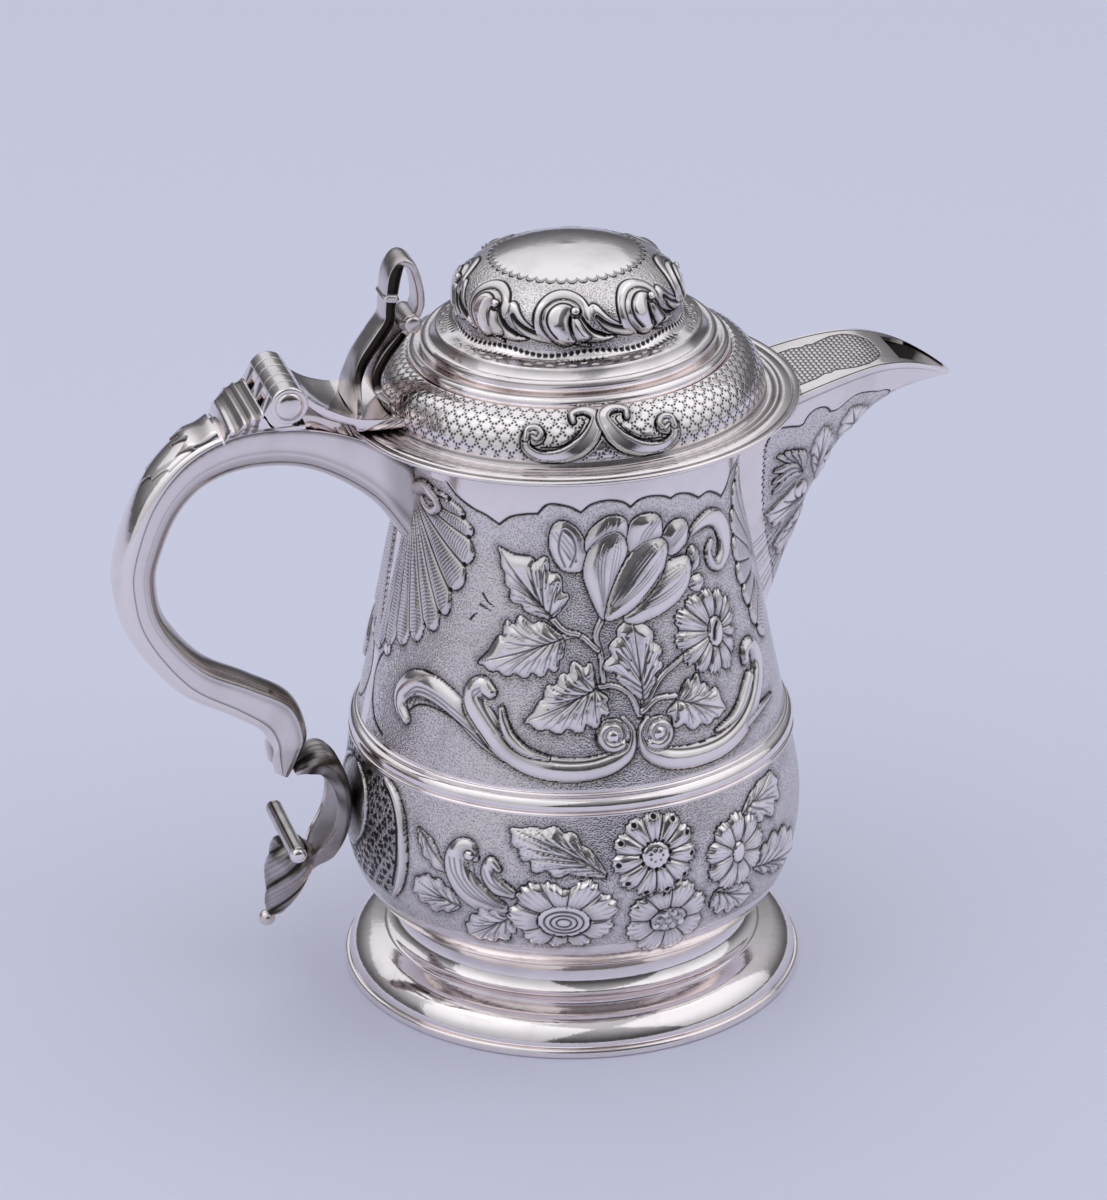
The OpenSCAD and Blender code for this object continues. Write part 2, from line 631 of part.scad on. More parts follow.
module spout_cover() {
    color(silver)
        difference() {
            intersection() {
                translate([0, 0, spout_tip_z - 10])
                    linear_extrude(spout_crest_z - spout_tip_z + 20) cover_plan();
                rotate([90, 0, 0])
                    linear_extrude(3 * spout_half_w, center = true) cover_profile();
            }
            translate([0, 0, spout_tip_z - 10])
                linear_extrude(spout_crest_z - spout_tip_z + 20) pour_plan();
            rotate_extrude()
                polygon(concat(
                    [for (i = [0:6]) let (z = mix(spout_root_z - 4, lip_z, i / 6)) [body_r(z) + seam, z]],
                    [[lip_r + seam, lip_z + 4], [0, lip_z + 4], [0, spout_root_z - 4]]
                ));
        }
}

// Handle edges: points of the outer and inner edge line, first from the hinge axis, then from the belly joint
upper_outer = [
    [18.3, -12.9], [3.7, -8.7], [-11.1, -8.6], [-23.4, -14], [-32.2, -24.4], [-37.3, -38], [-38.1, -47.6]
];
upper_inner = [
    [20.6, -24.9], [5.9, -15.9], [-8.8, -14.1], [-21, -17.8], [-29.2, -26.3], [-34.2, -38.6], [-35.1, -47.5]
];
lower_outer = [
    [-50.5, 53], [-40.6, 38.9], [-28.4, 30.7], [-21.5, 25.5], [-18.9, 20.8], [-18.4, 16.5], [-17.6, 10.7]
];
lower_inner = [
    [-47.5, 54.5], [-37.8, 42.5], [-25.6, 35.7], [-16.1, 29.8], [-12.9, 21.7], [-14.1, 16.3], [-16.8, 10.3]
];
root_half = 8.3;
function from_hinge(list) = [for (p = list) [p[0] - hinge_x, p[1] + hinge_z]];
function from_belly(list) = [for (p = list) [p[0] - belly_r, p[1] + scroll_z]];
root_x = -body_r(grip_root_z);
outer_edge = concat([[root_x, grip_root_z + root_half]], from_hinge(upper_outer), from_belly(lower_outer));
inner_edge = concat([[root_x, grip_root_z - root_half]], from_hinge(upper_inner), from_belly(lower_inner));
grip_spans = len(outer_edge) - 1;
grip_rings = 48;
grip_sides = 10;
function grip_half(s) =
    mix(grip_root_w, grip_end_w, smooth(s * 1.15)) / 2 * (s > 0.9 ? mix(1, 0.75, (s - 0.9) * 10) : 1);
function crown(s) =
    s < 0.5 ? mix(0.5, grip_crown, smooth(s * 2)) : mix(grip_crown, grip_crown * 0.4, smooth(s * 2 - 1));
function hollow(s) =
    mix(grip_inner_root, grip_inner_end, smooth(s * 1.25)) * (s > 0.9 ? mix(1, 0.6, (s - 0.9) * 10) : 1);
function grip_frame(s) =
    let (o = on_spline(outer_edge, s * grip_spans), i = on_spline(inner_edge, s * grip_spans))
    [(o + i) / 2, unit(o - i), norm(o - i) / 2];
function grip_point(s, y, n) =
    let (f = grip_frame(s), p = f[0] + f[1] * n)
    s == 0 ? [-on_body(y, p[1]), y, p[1]] : [p[0], y, p[1]];
function channel_line(s, inset) =
    let (w = grip_half(s) - inset, e = grip_frame(s)[2], h = hollow(s) - inset)
    concat(
        [grip_point(s, -w, e - seam), grip_point(s, -w, 0)],
        [for (a = [-90:180 / grip_sides:90]) grip_point(s, w * sin(a), -e - h * cos(a))],
        [grip_point(s, w, 0), grip_point(s, w, e - seam)]
    );
function back_line(s, inset) =
    let (w = grip_half(s) - inset * (1 + seam), e = grip_frame(s)[2], h = crown(s) - inset)
    [for (a = [-90:180 / grip_sides:90]) grip_point(s, w * sin(a), e + h * cos(a))];
module handle_channel() {
    color(silver)
        shell_between([for (i = [0:grip_rings]) let (s = i / grip_rings)
            concat(channel_line(s, 0), reverse(channel_line(s, grip_t)))]);
}
module handle_back() {
    color(silver)
        shell_between([for (i = [0:grip_rings]) let (s = i / grip_rings)
            concat(reverse(back_line(s, 0)), back_line(s, grip_t))]);
}

// Solid scrolls and ribbons with an oval section, swept along points [x, z, half depth, half width]
oval_sides = 16;
function oval_ring(row, ahead) =
    let (n = unit([ahead[1], -ahead[0]]))
    [for (k = [0:oval_sides - 1])
        let (
            a = 360 * k / oval_sides,
            c = sign(cos(a)) * pow(abs(cos(a)), 0.7),
            s = sign(sin(a)) * pow(abs(sin(a)), 0.7),
            p = [row[0], row[1]] + n * row[2] * c
        )
        [p[0], row[3] * s, p[1]]];
function fan(first, n) = [for (j = [1:n - 2]) [first, first + j + 1, first + j]];
module ribbon(rows, rings) {
    spans = len(rows) - 1;
    list = [for (i = [0:rings])
        let (t = i / rings * spans, row = on_spline(rows, t),
            ahead = on_spline(rows, min(t + 0.05, spans)) - on_spline(rows, max(t - 0.05, 0)))
        oval_ring(row, [ahead[0], ahead[1]])];
    polyhedron(
        [for (r = list) each r],
        flip(concat(
            ring_faces(rings + 1, oval_sides), fan(0, oval_sides), flip(fan(rings * oval_sides, oval_sides))
        )),
        convexity = 10
    );
}
function rows_from(list, x0, z0, k, w) =
    [for (p = list) [x0 + p[0] * k, z0 + p[1] * k, p[2] * k, p[3] * w]];

// Lower scroll, set against the belly
scroll_rows = [
    [-14.2, 10.4, 0.8, 0.2], [-11.4, 12.2, 2.1, 0.36], [-7.4, 12.6, 3.2, 0.46], [-4.2, 8, 2.9, 0.5],
    [-3.2, 2, 2.7, 0.5], [-4.2, -4.4, 2.9, 0.5], [-7.2, -10.2, 3.3, 0.44], [-12, -16, 3.2, 0.36]
];
module lower_scroll() {
    color(worn_silver)
        difference() {
            ribbon(rows_from(scroll_rows, -belly_r, scroll_z, scroll_size / 16, scroll_w), 30);
            rotate_extrude() polygon(concat(
                [for (i = [-6:6]) let (z = scroll_z + scroll_size * i / 6) [body_r(z) + seam, z]],
                [[0, scroll_z + scroll_size], [0, scroll_z - scroll_size]]
            ));
            on_drop()
                translate([0, 0, -drop_h])
                    cylinder(d1 = drop_d * drop_taper + 2 * seam, d2 = drop_d + 2 * seam, h = drop_h + 1);
        }
}

// Tail: a cross bar with end buttons, a twisted drop and a bead
bar_x = -belly_r - 16.5;
bar_z = scroll_z - 6.6;
module tail_bar() {
    color(silver)
        translate([bar_x, 0, bar_z])
            rotate([90, 0, 0])
                cylinder(d = bar_d, h = bar_len - 2 * button_len - 2 * seam, center = true);
}
module tail_buttons() {
    color(silver)
        for (side = [-1, 1])
            translate([bar_x, side * (bar_len / 2 - button_len), bar_z])
                rotate([-90 * side, 0, 0])
                    rotate_extrude()
                        polygon(concat([[0, 0]], [for (a = [0:15:90])
                            [bar_d * 0.46 * cos(a), button_len * (0.15 + 0.85 * sin(a))]]));
}
drop_lobes = 6;
drop_points = 48;
drop_taper = 0.6;
drop_x = bar_x - 0.8;
drop_top = bar_z - bar_d / 2 - seam;
module on_drop() {
    translate([drop_x, 0, drop_top]) rotate([0, drop_tilt, 0]) children();
}
module tail_drop() {
    color(worn_silver)
        on_drop()
            rotate([180, 0, 0])
                linear_extrude(drop_h, twist = -110, scale = drop_taper, slices = 16)
                    polygon([for (k = [0:drop_points - 1]) let (a = 360 * k / drop_points)
                        drop_d / 2 * (0.92 + 0.08 * cos(drop_lobes * a)) * [cos(a), sin(a)]]);
}
module tail_bead() {
    color(worn_silver)
        on_drop()
            translate([-bead_d / 2, 0, -drop_h - bead_d / 2 - seam])
                sphere(d = bead_d, $fn = 48);
}

// Hinge bed: a ribbed plate on the handle's crown, then a leaf down its back
bed_from = 1.95 / grip_spans;
bed_to = 3.35 / grip_spans;
leaf_to = 4.95 / grip_spans;
bed_top = hinge_z - barrel_r - swing_clear;
function crown_point(s, gap) = grip_point(s, 0, grip_frame(s)[2] + crown(s) + gap);
bed_ridges = [[-5.3, -2.4], [-6.8, -1], [-8.4, -3.2], [-10.2, -3.4], [-11.9, -5.2], [-13.8, -5.6]];
module hinge_bed() {
    under = [for (i = [0:12]) let (p = crown_point(mix(bed_from, bed_to, i / 12), seam)) [p[0], p[2]]];
    over = concat(
        [[under[0][0], bed_top], [-hinge_x - barrel_r - 0.2, bed_top]],
        [for (p = bed_ridges) [p[0] - hinge_x, p[1] + hinge_z]],
        [let (p = crown_point(bed_to, 0.8)) [p[0], p[2]]]
    );
    color(silver)
        difference() {
            rotate([90, 0, 0])
                linear_extrude(barrel_len, center = true)
                    polygon(concat(over, reverse(under)));
            translate([-hinge_x, 0, hinge_z])
                rotate([90, 0, 0])
                    cylinder(r = barrel_r + swing_clear, h = barrel_len + 2, center = true);
        }
}
leaf_sides = 8;
leaf_rings = 22;
leaf_ribs = 3;
function leaf_line(s, lift) =
    [for (a = [-62:124 / leaf_sides:62])
        grip_point(s, grip_half(s) * sin(a), grip_frame(s)[2] + crown(s) * cos(a) + lift)];
function leaf_lift(u) = leaf_t * (1 - 0.75 * u) * (0.75 + 0.25 * cos(360 * leaf_ribs * pow(u, 0.7)));
module hinge_leaf() {
    color(silver)
        shell_between([for (i = [0:leaf_rings])
            let (u = i / leaf_rings, s = mix(bed_to + 0.12 / grip_spans, leaf_to, u))
            concat(reverse(leaf_line(s, seam + leaf_lift(u))), leaf_line(s, seam))]);
}

// Hinge knuckles, pin and caps
module barrel(from, to) {
    translate([-hinge_x, to, hinge_z]) rotate([90, 0, 0]) cylinder(r = barrel_r, h = to - from);
}
module lug(from, to) {
    translate([-hinge_x - barrel_r + 0.2, from, bed_top + seam])
        cube([2 * barrel_r - 1, to - from, barrel_r]);
}
module pin_bore() {
    translate([-hinge_x, 0, hinge_z])
        rotate([90, 0, 0])
            cylinder(r = pin_r + pin_clear, h = barrel_len + 2, center = true);
}
handle_spans = [
    [-end_half, -mid_half - lid_knuckle - knuckle_clear / 2],
    [-mid_half + knuckle_clear / 2, mid_half - knuckle_clear / 2],
    [mid_half + lid_knuckle + knuckle_clear / 2, end_half]
];
lid_spans = [
    [-mid_half - lid_knuckle + knuckle_clear / 2, -mid_half - knuckle_clear / 2],
    [mid_half + knuckle_clear / 2, mid_half + lid_knuckle - knuckle_clear / 2]
];
module handle_knuckles() {
    color(silver)
        difference() {
            for (span = handle_spans) {
                barrel(span[0], span[1]);
                lug(span[0], span[1]);
            }
            pin_bore();
        }
}
module hinge_pin() {
    color(worn_silver)
        translate([-hinge_x, 0, hinge_z])
            rotate([90, 0, 0])
                cylinder(r = pin_r, h = barrel_len, center = true);
}
module hinge_caps() {
    color(silver)
        for (side = [-1, 1])
            translate([-hinge_x, side * (end_half + seam), hinge_z])
                rotate([-90 * side, 0, 0])
                    rotate_extrude()
                        polygon(concat(
                            [[0, 0]],
                            [for (a = [0:15:75])
                                [cap_r * (0.55 + 0.45 * cos(a)), cap_h * (0.3 + 0.7 * sin(a))]],
                            [[0, cap_h]]
                        ));
}

// Lid, drawn level and then leaned about the hinge axis
lid_lean = atan((cover_z(flange_r) + rest_gap - flange_z) / (flange_r + hinge_x));
module leaned() {
    translate([-hinge_x, 0, hinge_z])
        rotate([0, -lid_lean, 0])
            translate([hinge_x, 0, -hinge_z])
                children();
}
flange_rise = 0.3;
band_top_r = moulding_r + 0.9;
moulding_z = flange_top + band_h + 1.6;
plateau_z = moulding_z + 6.5;
dome_foot_z = plateau_z + 2;
dome_steps = 20;
ring_r = (moulding_r - plateau_r) / 4;
function half_ring(r, z) = [for (a = [-50:20:110]) [r + ring_r * 1.1 * cos(a), z + ring_r * 1.1 * sin(a)]];
function band_line() =
    [for (a = [0:15:90]) [band_top_r - 1.6 + (band_r - band_top_r + 1.6) * cos(a * 0.88),
        flange_top + 1.4 + band_h * sin(a * 0.88)]];
dome_curve = [
    [0.2, -14.1], [0.1, -11.3], [-0.4, -9.2], [-1.8, -6.8], [-4.4, -4.6], [-8, -2.8], [-13, -1.3], [-19, -0.4]
];
function dome_line() =
    let (top = flange_top + dome_top, rows = concat([for (p = dome_curve) p + [dome_r, top]], [[0, top]]))
    concat(
        bezier_points([[plateau_r - 4, plateau_z + 0.8], [dome_r + 0.6, plateau_z + 1.6],
            [dome_r + 0.3, dome_foot_z], [dome_r + 0.2, dome_foot_z + 3]], 6),
        [for (i = [0:dome_steps]) on_spline(rows, (len(rows) - 1) * i / dome_steps)]
    );
function lid_line() = concat(
    band_line(),
    half_ring(moulding_r - ring_r, moulding_z),
    half_ring(moulding_r - 3 * ring_r, moulding_z + 2.8),
    [[plateau_r - 0.4, plateau_z - 0.6], [plateau_r - 0.6, plateau_z]],
    dome_line()
);
module lid() {
    line = lid_line();
    inside = concat([for (p = line) if (p[0] > lid_t) [p[0] - lid_t, p[1] - lid_t]],
        [[0, flange_top + dome_top - lid_t]]);
    edge = flange_t / 4;
    color(silver)
        leaned()
            rotate_extrude()
                polygon(concat(
                    [[band_r - lid_t, flange_z], [flange_r - edge, flange_z], [flange_r, flange_z + edge],
                        [flange_r, flange_top - edge], [flange_r - edge, flange_top],
                        [band_r + 0.6, flange_top + flange_rise], [band_r + 0.2, flange_top + 1]],
                    line, reverse(inside)
                ));
}
// Chased scrolls of the lid, by degrees and distance up the dome's line or the band's line
function run_table(line) =
    let (runs = [for (i = 0, s = 0; i < len(line);
        s = s + (i < len(line) - 1 ? norm(line[i + 1] - line[i]) : 0), i = i + 1) s])
    [for (k = [0, 1]) [for (i = [0:len(line) - 1]) [runs[i], line[i][k]]]];
dome_waves = 8;
wave_scroll = [
    [-6.7, 4.4, 0.6], [-10.6, 6.3, 1.2], [-12.2, 8.5, 1.6], [-12.4, 10.7, 1.8], [-10.4, 13.1, 1.8],
    [-6.4, 14.6, 1.7], [-1.6, 15.2, 1.6], [2.6, 14.8, 1.4], [6.2, 13.5, 1], [6.6, 11.9, 0.6]
];
wave_tails = [
    [
        [3.2, 10.7, 0.5], [5.6, 8.6, 1], [10.6, 6.9, 0.9], [17.6, 5.9, 0.4]
    ],
    [
        [16.4, 9.5, 0.5], [19.6, 8.1, 0.9], [23.6, 6.9, 0.8], [27.6, 6.2, 0.4]
    ]
];
band_middle = 9.5;
band_scroll = [
    [21.9, 7.74, 0.7], [22.9, 5.54, 1.1], [20.5, 3.04, 1.4], [15.5, 2.04, 1.5], [10, 2.24, 1.5],
    [5.5, 4.04, 1.4], [2.5, 7.34, 1.1], [1.6, 10.54, 0.7]
];
function turned(rows, a, way) = [for (p = rows) [a + way * p[0], p[1], p[2]]];
module lid_relief() {
    dome = run_table(dome_line());
    band_table = run_table(band_line());
    color(silver)
        leaned()
            union() {
                relief([for (i = [0:dome_waves - 1], rows = concat([wave_scroll], wave_tails))
                    band(dome, turned(rows, 360 / dome_waves * i, 1),
                        (len(rows) > 4 ? 1.4 : 0.9) * relief_h)]);
                for (side = [0, 1])
                    mirror([0, side, 0])
                        relief([for (way = [-1, 1])
                            band(band_table, turned(band_scroll, band_middle, way), 0.8 * relief_h)]);
            }
}
module lid_bezel() {
    color(silver)
        leaned()
            rotate_extrude()
                polygon([
                    [bezel_r - lid_t, flange_z - bezel_depth], [bezel_r, flange_z - bezel_depth],
                    [bezel_r, flange_z + 0.2], [band_r - lid_t - seam, flange_z + 0.2],
                    [band_r - lid_t - seam, flange_top], [bezel_r - lid_t, flange_top]
                ]);
}
module strap_plan() {
    far = -band_r + 2;
    near = -hinge_x + 2;
    side = bezier_points([[near, strap_half_w], [near + 9, strap_half_w],
        [-flange_r - 2, strap_spread - 0.5], [far, strap_spread]], 12);
    polygon(concat(side, [for (p = reverse(side)) [p[0], -p[1]]]));
}
strap_over = [[3.6, 0.9], [7.6, -1.6], [10.1, -3], [14.6, -5], [17, -5.4]];
strap_under = [[15.8, -8.4], [11, -7.6], [8.2, -6.2], [4.6, -3]];
module strap_profile() {
    polygon(concat(
        [for (p = strap_over) [p[0] - hinge_x, p[1] + hinge_z]],
        [[-band_r + 4, hinge_z - 5.9], [-band_r + 4, flange_top + flange_rise + seam],
            [-band_r - 0.6, flange_top + flange_rise + seam], [-flange_r + 0.6, flange_top + seam]],
        [for (p = strap_under) [p[0] - hinge_x, p[1] + hinge_z]]
    ));
}
module lid_strap() {
    color(silver)
        leaned()
            difference() {
                intersection() {
                    translate([0, 0, flange_z]) linear_extrude(2 * hinge_rise) strap_plan();
                    rotate([90, 0, 0]) linear_extrude(3 * strap_spread, center = true) strap_profile();
                }
                cylinder(r = band_r + 0.7, h = 2 * hinge_z);
                for (span = handle_spans)
                    translate([-hinge_x, span[1] + knuckle_clear, hinge_z])
                        rotate([90, 0, 0])
                            cylinder(r = barrel_r + swing_clear, h = span[1] - span[0] + 2 * knuckle_clear);
                translate([-hinge_x, 0, hinge_z])
                    rotate([90, 0, 0])
                        cylinder(r = barrel_r + seam, h = barrel_len + 4, center = true);
            }
}
module lid_knuckles() {
    color(silver)
        difference() {
            for (span = lid_spans) barrel(span[0], span[1]);
            pin_bore();
        }
}

// Thumbpiece: an open loop of ribbon over a second S-shaped ribbon, joined by a roll
thumb_x = -band_r;
loop_rows = [
    [-7.5, 4.9, 1.3, 0.7], [-7, 10.4, 1, 0.56], [-5.2, 16, 1, 0.5], [-1.2, 21.4, 1, 0.47],
    [2.2, 26.2, 1, 0.45], [2.8, 31.4, 1.2, 0.45], [3.6, 37, 1.1, 0.45], [5.8, 40.4, 1, 0.45],
    [8.4, 39, 1, 0.43], [9.9, 34, 1, 0.4], [10.2, 29.2, 1, 0.38], [9.2, 26.2, 0.9, 0.38]
];
scroll_foot_rows = [
    [6.2, 23.6, 0.8, 0.46], [2.4, 21, 0.9, 0.5], [-2.4, 16.8, 0.9, 0.5], [-4.9, 12.2, 0.9, 0.5],
    [-4.2, 8, 0.9, 0.5], [-1.2, 6.1, 0.9, 0.52]
];
roll_at = [7.8, 24.6];
thumb_k = thumb_h / 40;
function thumb_rows(list) =
    [for (p = list)
        [thumb_x + p[0] * thumb_k, flange_top + p[1] * thumb_k, p[2] * thumb_t / 2, p[3] * thumb_w]];
module thumbpiece() {
    color(worn_silver)
        leaned()
            difference() {
                union() {
                    ribbon(thumb_rows(loop_rows), 40);
                    ribbon(thumb_rows(scroll_foot_rows), 22);
                    translate([thumb_x + roll_at[0] * thumb_k, 0, flange_top + roll_at[1] * thumb_k])
                        rotate([90, 0, 0])
                            cylinder(d = roll_d, h = thumb_w, center = true, $fn = 32);
                }
                translate([0, 0, flange_top]) rotate_extrude() polygon(concat(
                    [[0, 0], [band_r + 0.2, 0], [band_r + 0.2, 1.4]],
                    [for (p = lid_line()) if (p[1] < moulding_z - 2) [p[0] + seam, p[1] - flange_top + seam]],
                    [[0, moulding_z - 2 - flange_top]]
                ));
                translate([0, 0, seam])
                    rotate([90, 0, 0]) linear_extrude(3 * thumb_w, center = true) strap_profile();
            }
}

body();
foot();
foot_wire();
girdle();
lip_wire();
body_relief();
spout();
spout_cover();
handle_channel();
handle_back();
lower_scroll();
tail_bar();
tail_buttons();
tail_drop();
tail_bead();
hinge_bed();
hinge_leaf();
handle_knuckles();
hinge_pin();
hinge_caps();
lid();
lid_relief();
lid_bezel();
lid_strap();
lid_knuckles();
thumbpiece();
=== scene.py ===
"""Looks of a chased silver tankard with a hinged lid and a covered spout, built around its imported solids.

Lengths are in millimetres until a mesh is made; +Z is up, +X points at the spout, the handle is at -X.
"""
import math

import bpy
import numpy as np
from mathutils import Matrix, Vector


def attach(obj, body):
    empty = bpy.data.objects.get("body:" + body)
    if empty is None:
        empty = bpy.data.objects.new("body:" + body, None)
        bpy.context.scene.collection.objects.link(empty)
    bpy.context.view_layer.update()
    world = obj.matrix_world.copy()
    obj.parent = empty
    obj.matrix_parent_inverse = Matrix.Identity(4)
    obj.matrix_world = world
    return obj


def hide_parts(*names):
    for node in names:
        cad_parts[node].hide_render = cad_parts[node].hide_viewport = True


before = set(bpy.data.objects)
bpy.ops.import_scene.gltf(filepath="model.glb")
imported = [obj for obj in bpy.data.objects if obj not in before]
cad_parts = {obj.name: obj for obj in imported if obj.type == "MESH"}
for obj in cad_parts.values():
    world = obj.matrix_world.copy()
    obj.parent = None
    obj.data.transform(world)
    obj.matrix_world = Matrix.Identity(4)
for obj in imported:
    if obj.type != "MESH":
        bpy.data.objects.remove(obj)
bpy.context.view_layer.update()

MM = 0.001

# Body
BELLY_R, BELLY_Z = 57.3, 46.0
BASE_R, FOOT_H = 44.0, 19.7
NECK_R, NECK_Z = 41.4, 136.0
LIP_R, LIP_Z = 45.0, 150.8
SKIN, DEEPEST = 0.26, 0.2  # how far the chased skin stands off the plain wall, and how far back its cuts go

# Lid and hinge
FLANGE_Z, FLANGE_TOP = 151.2, 152.4
BAND_R, DOME_R, DOME_TOP = 47.7, 27.0, 190.8
HINGE_X, HINGE_Z = -72.6, 163.2
BARREL_R, BARREL_LEN = 4.7, 24.4
LID_LEAN = math.radians(1.2)

# Spout
SPOUT_ROOT_X, SPOUT_REACH = 44.0, 98.0
SPOUT_CREST_X, SPOUT_CREST_Z = 75.5, 157.1
SPOUT_ROOT_Z, SPOUT_TIP_Z, SPOUT_HEEL_Z = 149.6, 148.8, 88.0
SPOUT_HALF_W, SPOUT_T, COVER_T = 16.6, 1.1, 1.0
KEEL_ROUND = 0.72

# The photograph's camera, fitted to the foot, girdle and lid ellipses
CAMERA_DISTANCE, CAMERA_HEIGHT = 1198.03, 643.74
OBJECT_TURN = math.radians(15.5)
CAMERA_YAW, CAMERA_PITCH, CAMERA_ROLL = -0.0034907, 0.4274835, 0.0057770
CAMERA_LENS = 159.0


# Curves
def catmull_rom(a, b, c, d, f):
    """The curve from b to c at the share f of the way, with a before it and d after it."""
    return 0.5 * (2 * b + (c - a) * f + (2 * a - 5 * b + 4 * c - d) * f**2 + (3 * b - a - 3 * c + d) * f**3)


def spline(points, count):
    """Catmull-Rom curve through the points, as count samples; extra columns are carried along."""
    p = np.asarray(points, float)
    ext = np.vstack([2 * p[0] - p[1], p, 2 * p[-1] - p[-2]])
    t = np.linspace(0, len(p) - 1, count)
    i = np.minimum(t.astype(int), len(p) - 2)
    return catmull_rom(ext[i], ext[i + 1], ext[i + 2], ext[i + 3], (t - i)[:, None])


def bezier(p, t):
    """Points of a cubic Bezier curve at the shares t of the way."""
    p = np.asarray(p, float)
    t = np.asarray(t, float)[..., None]
    return p[0] * (1 - t) ** 3 + 3 * p[1] * t * (1 - t) ** 2 + 3 * p[2] * t * t * (1 - t) + p[3] * t**3


def even(profile, count):
    """The polyline resampled to count points at equal distances."""
    p = np.asarray(profile, float)
    s = np.concatenate([[0], np.cumsum(np.hypot(*np.diff(p, axis=0).T))])
    t = np.linspace(0, s[-1], count)
    return np.stack([np.interp(t, s, p[:, k]) for k in range(p.shape[1])], -1)


def smoothstep(x, a=0.0, b=1.0):
    """0 up to a, 1 from b on, and an even ease between them."""
    t = np.clip((np.asarray(x, float) - a) / (b - a), 0, 1)
    return t * t * (3 - 2 * t)


def bell(x, width):
    """1 where x is 0, falling away on both sides."""
    return np.exp(-((x / width) ** 2))


def spot(x, y):
    """1 inside the circle of radius 1, with a soft edge."""
    return np.exp(-((x**2 + y**2) ** 2))


def arc(square):
    """A quarter circle's height over the square of the distance from its middle."""
    return np.sqrt(np.maximum(0, 1 - square))


def circle(count):
    """Angles spread evenly round a circle."""
    return np.linspace(0, 2 * math.pi, count, endpoint=False)


def body_radius(z):
    """Outer radius of the plain body: round belly, straight side eased at both ends, flared lip."""
    z = np.asarray(z, float)
    ease_low, ease_high = 0.12, 0.14
    slope = 1 / (1 - (ease_low + ease_high) / 2)
    u = (z - BELLY_Z) / (NECK_Z - BELLY_Z)
    fall = np.where(u < ease_low, slope * u * u / (2 * ease_low),
                    np.where(u < 1 - ease_high, slope * (u - ease_low / 2),
                             1 - slope * (1 - u) ** 2 / (2 * ease_high)))
    belly = BASE_R + (BELLY_R - BASE_R) * arc(((BELLY_Z - z) / (BELLY_Z - FOOT_H)) ** 2)
    lip = NECK_R + (LIP_R - NECK_R) * ((z - NECK_Z) / (LIP_Z - NECK_Z)) ** 2
    return np.where(z < BELLY_Z, belly, np.where(z < NECK_Z, BELLY_R - (BELLY_R - NECK_R) * fall, lip))


# Meshes
def grid_quads(rows, cols, wrap_cols=False, wrap_rows=False, flip=False):
    """Faces of a grid of points, listed row by row; a wrapped side closes on itself."""
    r = np.arange(rows if wrap_rows else rows - 1)
    c = np.arange(cols if wrap_cols else cols - 1)
    a = (r[:, None] * cols + c[None, :]).ravel()
    b = (r[:, None] * cols + (c[None, :] + 1) % cols).ravel()
    d = (((r[:, None] + 1) % rows) * cols + c[None, :]).ravel()
    e = (((r[:, None] + 1) % rows) * cols + (c[None, :] + 1) % cols).ravel()
    quads = np.stack([a, b, e, d], -1)
    return quads[:, ::-1] if flip else quads


def piece(name, points, faces, body, slot, material, replaces=(), patina=None, ground=None, sharp=40):
    """A mesh object from points in millimetres and a list of face arrays, riding on a body."""
    faces = [np.asarray(f, np.int32) for f in faces if len(f)]
    loops = np.concatenate([f.ravel() for f in faces])
    sizes = np.concatenate([np.full(len(f), f.shape[1]) for f in faces])
    mesh = bpy.data.meshes.new(name)
    mesh.vertices.add(len(points))
    mesh.vertices.foreach_set("co", (np.asarray(points, float) * MM).astype(np.float32).ravel())
    mesh.loops.add(len(loops))
    mesh.loops.foreach_set("vertex_index", loops.astype(np.int32))
    mesh.polygons.add(len(sizes))
    mesh.polygons.foreach_set("loop_start", np.concatenate([[0], np.cumsum(sizes)[:-1]]).astype(np.int32))
    mesh.polygons.foreach_set("use_smooth", np.ones(len(sizes), bool))
    mesh.update(calc_edges=True)
    mesh.validate()
    for label, values in (("patina", patina), ("ground", ground)):
        layer = mesh.attributes.new(label, "FLOAT", "POINT")
        layer.data.foreach_set("value", np.zeros(len(points), np.float32) if values is None
                               else np.asarray(values, np.float32).ravel())
    if sharp:
        mesh.set_sharp_from_angle(angle=math.radians(sharp))
    obj = bpy.data.objects.new(name, mesh)
    bpy.context.scene.collection.objects.link(obj)
    mesh.materials.append(material)
    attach(obj, body)
    if replaces:
        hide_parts(*replaces)
    return obj


def lean(points):
    """Points of the level lid, turned with it about the hinge axis to where it rests on the spout's cover."""
    p = np.array(points, float)
    x, z = p[:, 0] - HINGE_X, p[:, 2] - HINGE_Z
    p[:, 0] = HINGE_X + x * math.cos(LID_LEAN) - z * math.sin(LID_LEAN)
    p[:, 2] = HINGE_Z + x * math.sin(LID_LEAN) + z * math.cos(LID_LEAN)
    return p


def lathe_points(profile, count):
    """Rings of a profile of (radius, height), one ring after another."""
    p = np.asarray(profile, float)
    a = circle(count)
    return np.stack([p[:, :1] * np.cos(a), p[:, :1] * np.sin(a), np.repeat(p[:, 1:], count, 1)], -1).reshape(-1, 3)


def ring(name, profile, replaces, count=256):
    """A turned ring of the tankard with a closed profile, drawn anticlockwise in (radius, height)."""
    quads = grid_quads(len(profile), count, wrap_cols=True, wrap_rows=True)
    piece(name, lathe_points(profile, count), [quads], "tankard", "silver_plain", POLISHED, replaces, sharp=35)


def sweep(sections):
    """Points and faces of a solid through closed sections, each an array of the same number of points."""
    sections = np.asarray(sections, float)
    rows, cols = sections.shape[:2]
    ends = [np.arange(cols)[None, ::-1], ((rows - 1) * cols + np.arange(cols))[None, :]]
    return sections.reshape(-1, 3), [grid_quads(rows, cols, wrap_cols=True), *ends]


